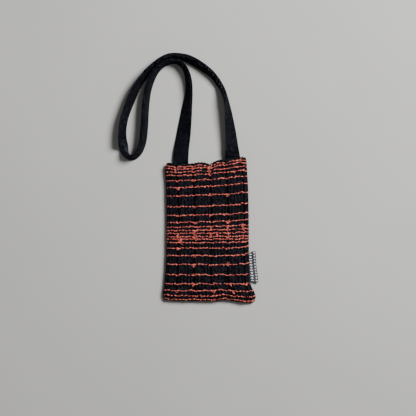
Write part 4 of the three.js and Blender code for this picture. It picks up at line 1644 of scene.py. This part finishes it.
class POUCH_OT_strap(bpy.types.Operator):
    """Makes the flat webbing strap along its laid route, with its looped edges."""

    bl_idname = "pouch.strap"
    bl_label = "Strap"

    def execute(self, context):
        look = context.scene.pouch_strap
        run, line, travel = strap_stations()
        places, thick = band_places()
        rings, highlight_share = strap_rings(run, places, thick, line, travel)
        count, round_ = rings.shape[:2]
        faces = tube_faces(count, round_)
        faces.append(tuple(range(round_)))
        faces.append(tuple(reversed(range((count - 1) * round_, count * round_))))
        order = np.concatenate([places[::-1], places[1:-1]])
        facts = {
            "across_mm": np.broadcast_to(order, (count, round_)),
            "run_mm": np.broadcast_to(run[:, None], (count, round_)),
            "painted_highlight": np.broadcast_to(highlight_share[:, None], (count, round_)),
        }
        cotton = webbing_cotton(look)
        band = new_mesh("strap_band", rings.reshape(-1, 3), faces, facts, cotton)
        last = len(places) - 1
        pairs = ((1, -1), (last - 1, last + 1))
        edges = [(rings[:, above] + rings[:, below]) / 2 for above, below in pairs]
        carrier = new_paths("strap_selvedge", [(edge, 1.0, 0.0) for edge in edges])
        values = {
            "Loop Pitch": look.loop_pitch,
            "Loop Thickness": look.loop_thickness,
            "Material": cotton,
        }
        selvedge = dress(carrier, selvedge_tree(), values)
        seat(band, "webbing", "strap")
        seat(selvedge, "webbing")
        return {"FINISHED"}


# The label


def label_section(ply):
    """Round the folded label: out, up and how far across it is flat, outside and back inside."""
    half = LABEL_THICKNESS / 2
    wide = LABEL_REACH + LABEL_TUCK
    straight = np.linspace(0, wide - half, LABEL_FLAT_POINTS)
    turn = np.linspace(-math.pi / 2, math.pi / 2, LABEL_FOLD_POINTS)[1:-1]
    in_fold = wide - half + LABEL_FOLD_PLACE
    section = []
    for radius, way in ((half, 1), (half - ply, -1)):
        under = [(x, -radius, x) for x in straight]
        fold = [(wide - half + radius * math.cos(t), radius * math.sin(t), in_fold) for t in turn]
        over = [(x, radius, x) for x in straight[::-1]]
        section.extend((under + fold + over)[::way])
    return np.array(section)


def label_ring(section, run):
    """The label's section at a distance down the seam, drawn in, curled and slanted."""
    slant = math.radians(LABEL_SLANT)
    seam_x, seam_y = plan(np.array(1.0), np.array(LABEL_TOP), 0)
    free = smoothstep((section[:, 0] - LABEL_TUCK) / LABEL_REACH)
    stretch = 1 + LABEL_STRETCH * math.sin(run / 4.3)
    x = section[:, 0] * stretch - LABEL_SWAY * free * math.sin(run / 9)
    y = -run * (LABEL_AT_SEAM + (LABEL_AT_FOLD - LABEL_AT_SEAM) * free)
    z = section[:, 1] + LABEL_CURL * free * math.sin(run / 8.2 + 0.6)
    across = seam_x - LABEL_TUCK + x * math.cos(slant) - y * math.sin(slant)
    up = seam_y + x * math.sin(slant) + y * math.cos(slant)
    return np.stack([across, up, z + SEAM_HEIGHT], -1)


class POUCH_OT_label(bpy.types.Operator):
    """Makes the folded woven label in the right side seam."""

    bl_idname = "pouch.label"
    bl_label = "Side label"

    def execute(self, context):
        look = context.scene.pouch_label
        section = label_section(look.ply / MM)
        lines = np.linspace(0, LABEL_LENGTH, LABEL_STEPS)
        rings = np.array([label_ring(section, run) for run in lines])
        count, round_ = rings.shape[:2]
        faces = tube_faces(count, round_)
        pairs = round_ // 2
        for ring, way in ((0, 1), (count - 1, -1)):
            base = ring * round_
            for k in range(pairs - 1):
                quad = (k, k + 1, round_ - 2 - k, round_ - 1 - k)
                faces.append(tuple(base + q for q in quad)[::way])
        facts = {
            "across_mm": np.broadcast_to(section[:, 2], (count, round_)),
            "run_mm": np.broadcast_to(lines[:, None], (count, round_)),
        }
        label = new_mesh("woven_label", rings.reshape(-1, 3), faces, facts, label_weave(look))
        seat(label, "label_cloth", "side_label")
        return {"FINISHED"}


# The stage


class POUCH_OT_stage(bpy.types.Operator):
    """Makes the pale floor, the soft lights and the camera straight above."""

    bl_idname = "pouch.stage"
    bl_label = "Stage"

    def execute(self, context):
        look = context.scene.pouch_stage
        mesh = bpy.data.meshes.new("floor")
        corners = [(-1, -1), (1, -1), (1, 1), (-1, 1)]
        points = [(FLOOR_REACH * x, FLOOR_REACH * y, FLOOR_LEVEL * MM) for x, y in corners]
        mesh.from_pydata(points, [], [(0, 1, 2, 3)])
        mesh.materials.append(pale_paper(look))
        into_scene("floor", mesh)
        lights = (
            ("key_light", KEY_PLACE, KEY_SIZE, look.key_power),
            ("fill_light", FILL_PLACE, FILL_SIZE, look.fill_power),
        )
        for name, place, size, power in lights:
            lamp = bpy.data.lights.new(name, "AREA")
            lamp.shape = "DISK"
            lamp.size = size
            lamp.energy = power
            light = into_scene(name, lamp)
            light.location = place
            light.rotation_euler = (-Vector(place)).to_track_quat("-Z", "Y").to_euler()
        world = bpy.data.worlds.new("even light")
        world.use_nodes = True
        around = world.node_tree.nodes["Background"]
        around.inputs["Color"].default_value = (*linear("#e8e8e8"), 1)
        around.inputs["Strength"].default_value = look.surround
        context.scene.world = world
        lens = bpy.data.cameras.new("camera")
        lens.lens = CAMERA_LENS
        lens.sensor_width = CAMERA_SENSOR
        camera = into_scene("camera", lens)
        distance = VIEW_WIDTH * MM * CAMERA_LENS / CAMERA_SENSOR
        camera.location = (*(c * MM for c in VIEW_MIDDLE), distance + VIEW_LEVEL * MM)
        lens.clip_end = 2 * distance
        context.scene.camera = camera
        return {"FINISHED"}


class POUCH_PT_panel(bpy.types.Panel):
    """Lists the pouch's pieces with their sizes and colours."""

    bl_label = "Neck pouch"
    bl_space_type = "VIEW_3D"
    bl_region_type = "UI"
    bl_category = "Neck pouch"

    def draw(self, context):
        for operator, group in STEPS:
            box = self.layout.box()
            box.operator(operator.bl_idname)
            if group:
                settings = getattr(context.scene, group)
                for name in settings.__annotations__:
                    box.prop(settings, name)


GROUPS = {
    "pouch_cloth": PouchCloth,
    "pouch_yarn": PouchYarn,
    "pouch_strap": PouchStrap,
    "pouch_label": PouchLabel,
    "pouch_stage": PouchStage,
}
STEPS = (
    (POUCH_OT_panels, "pouch_cloth"),
    (POUCH_OT_yarns, "pouch_yarn"),
    (POUCH_OT_tack, None),
    (POUCH_OT_strap, "pouch_strap"),
    (POUCH_OT_label, "pouch_label"),
    (POUCH_OT_stage, "pouch_stage"),
)


def register():
    """Registers the settings, the operators and the panel."""
    for name, group in GROUPS.items():
        bpy.utils.register_class(group)
        setattr(bpy.types.Scene, name, PointerProperty(type=group))
    for operator, _ in STEPS:
        bpy.utils.register_class(operator)
    bpy.utils.register_class(POUCH_PT_panel)


def unregister():
    """Takes them all back."""
    bpy.utils.unregister_class(POUCH_PT_panel)
    for operator, _ in reversed(STEPS):
        bpy.utils.unregister_class(operator)
    for name, group in reversed(GROUPS.items()):
        delattr(bpy.types.Scene, name)
        bpy.utils.unregister_class(group)


def main():
    """Registers the settings, then builds the pouch and its stage."""
    register()
    bpy.ops.pouch.panels()
    bpy.ops.pouch.yarns()
    bpy.ops.pouch.tack()
    bpy.ops.pouch.strap()
    bpy.ops.pouch.label()
    bpy.ops.pouch.stage()


if __name__ == "__main__":
    main()
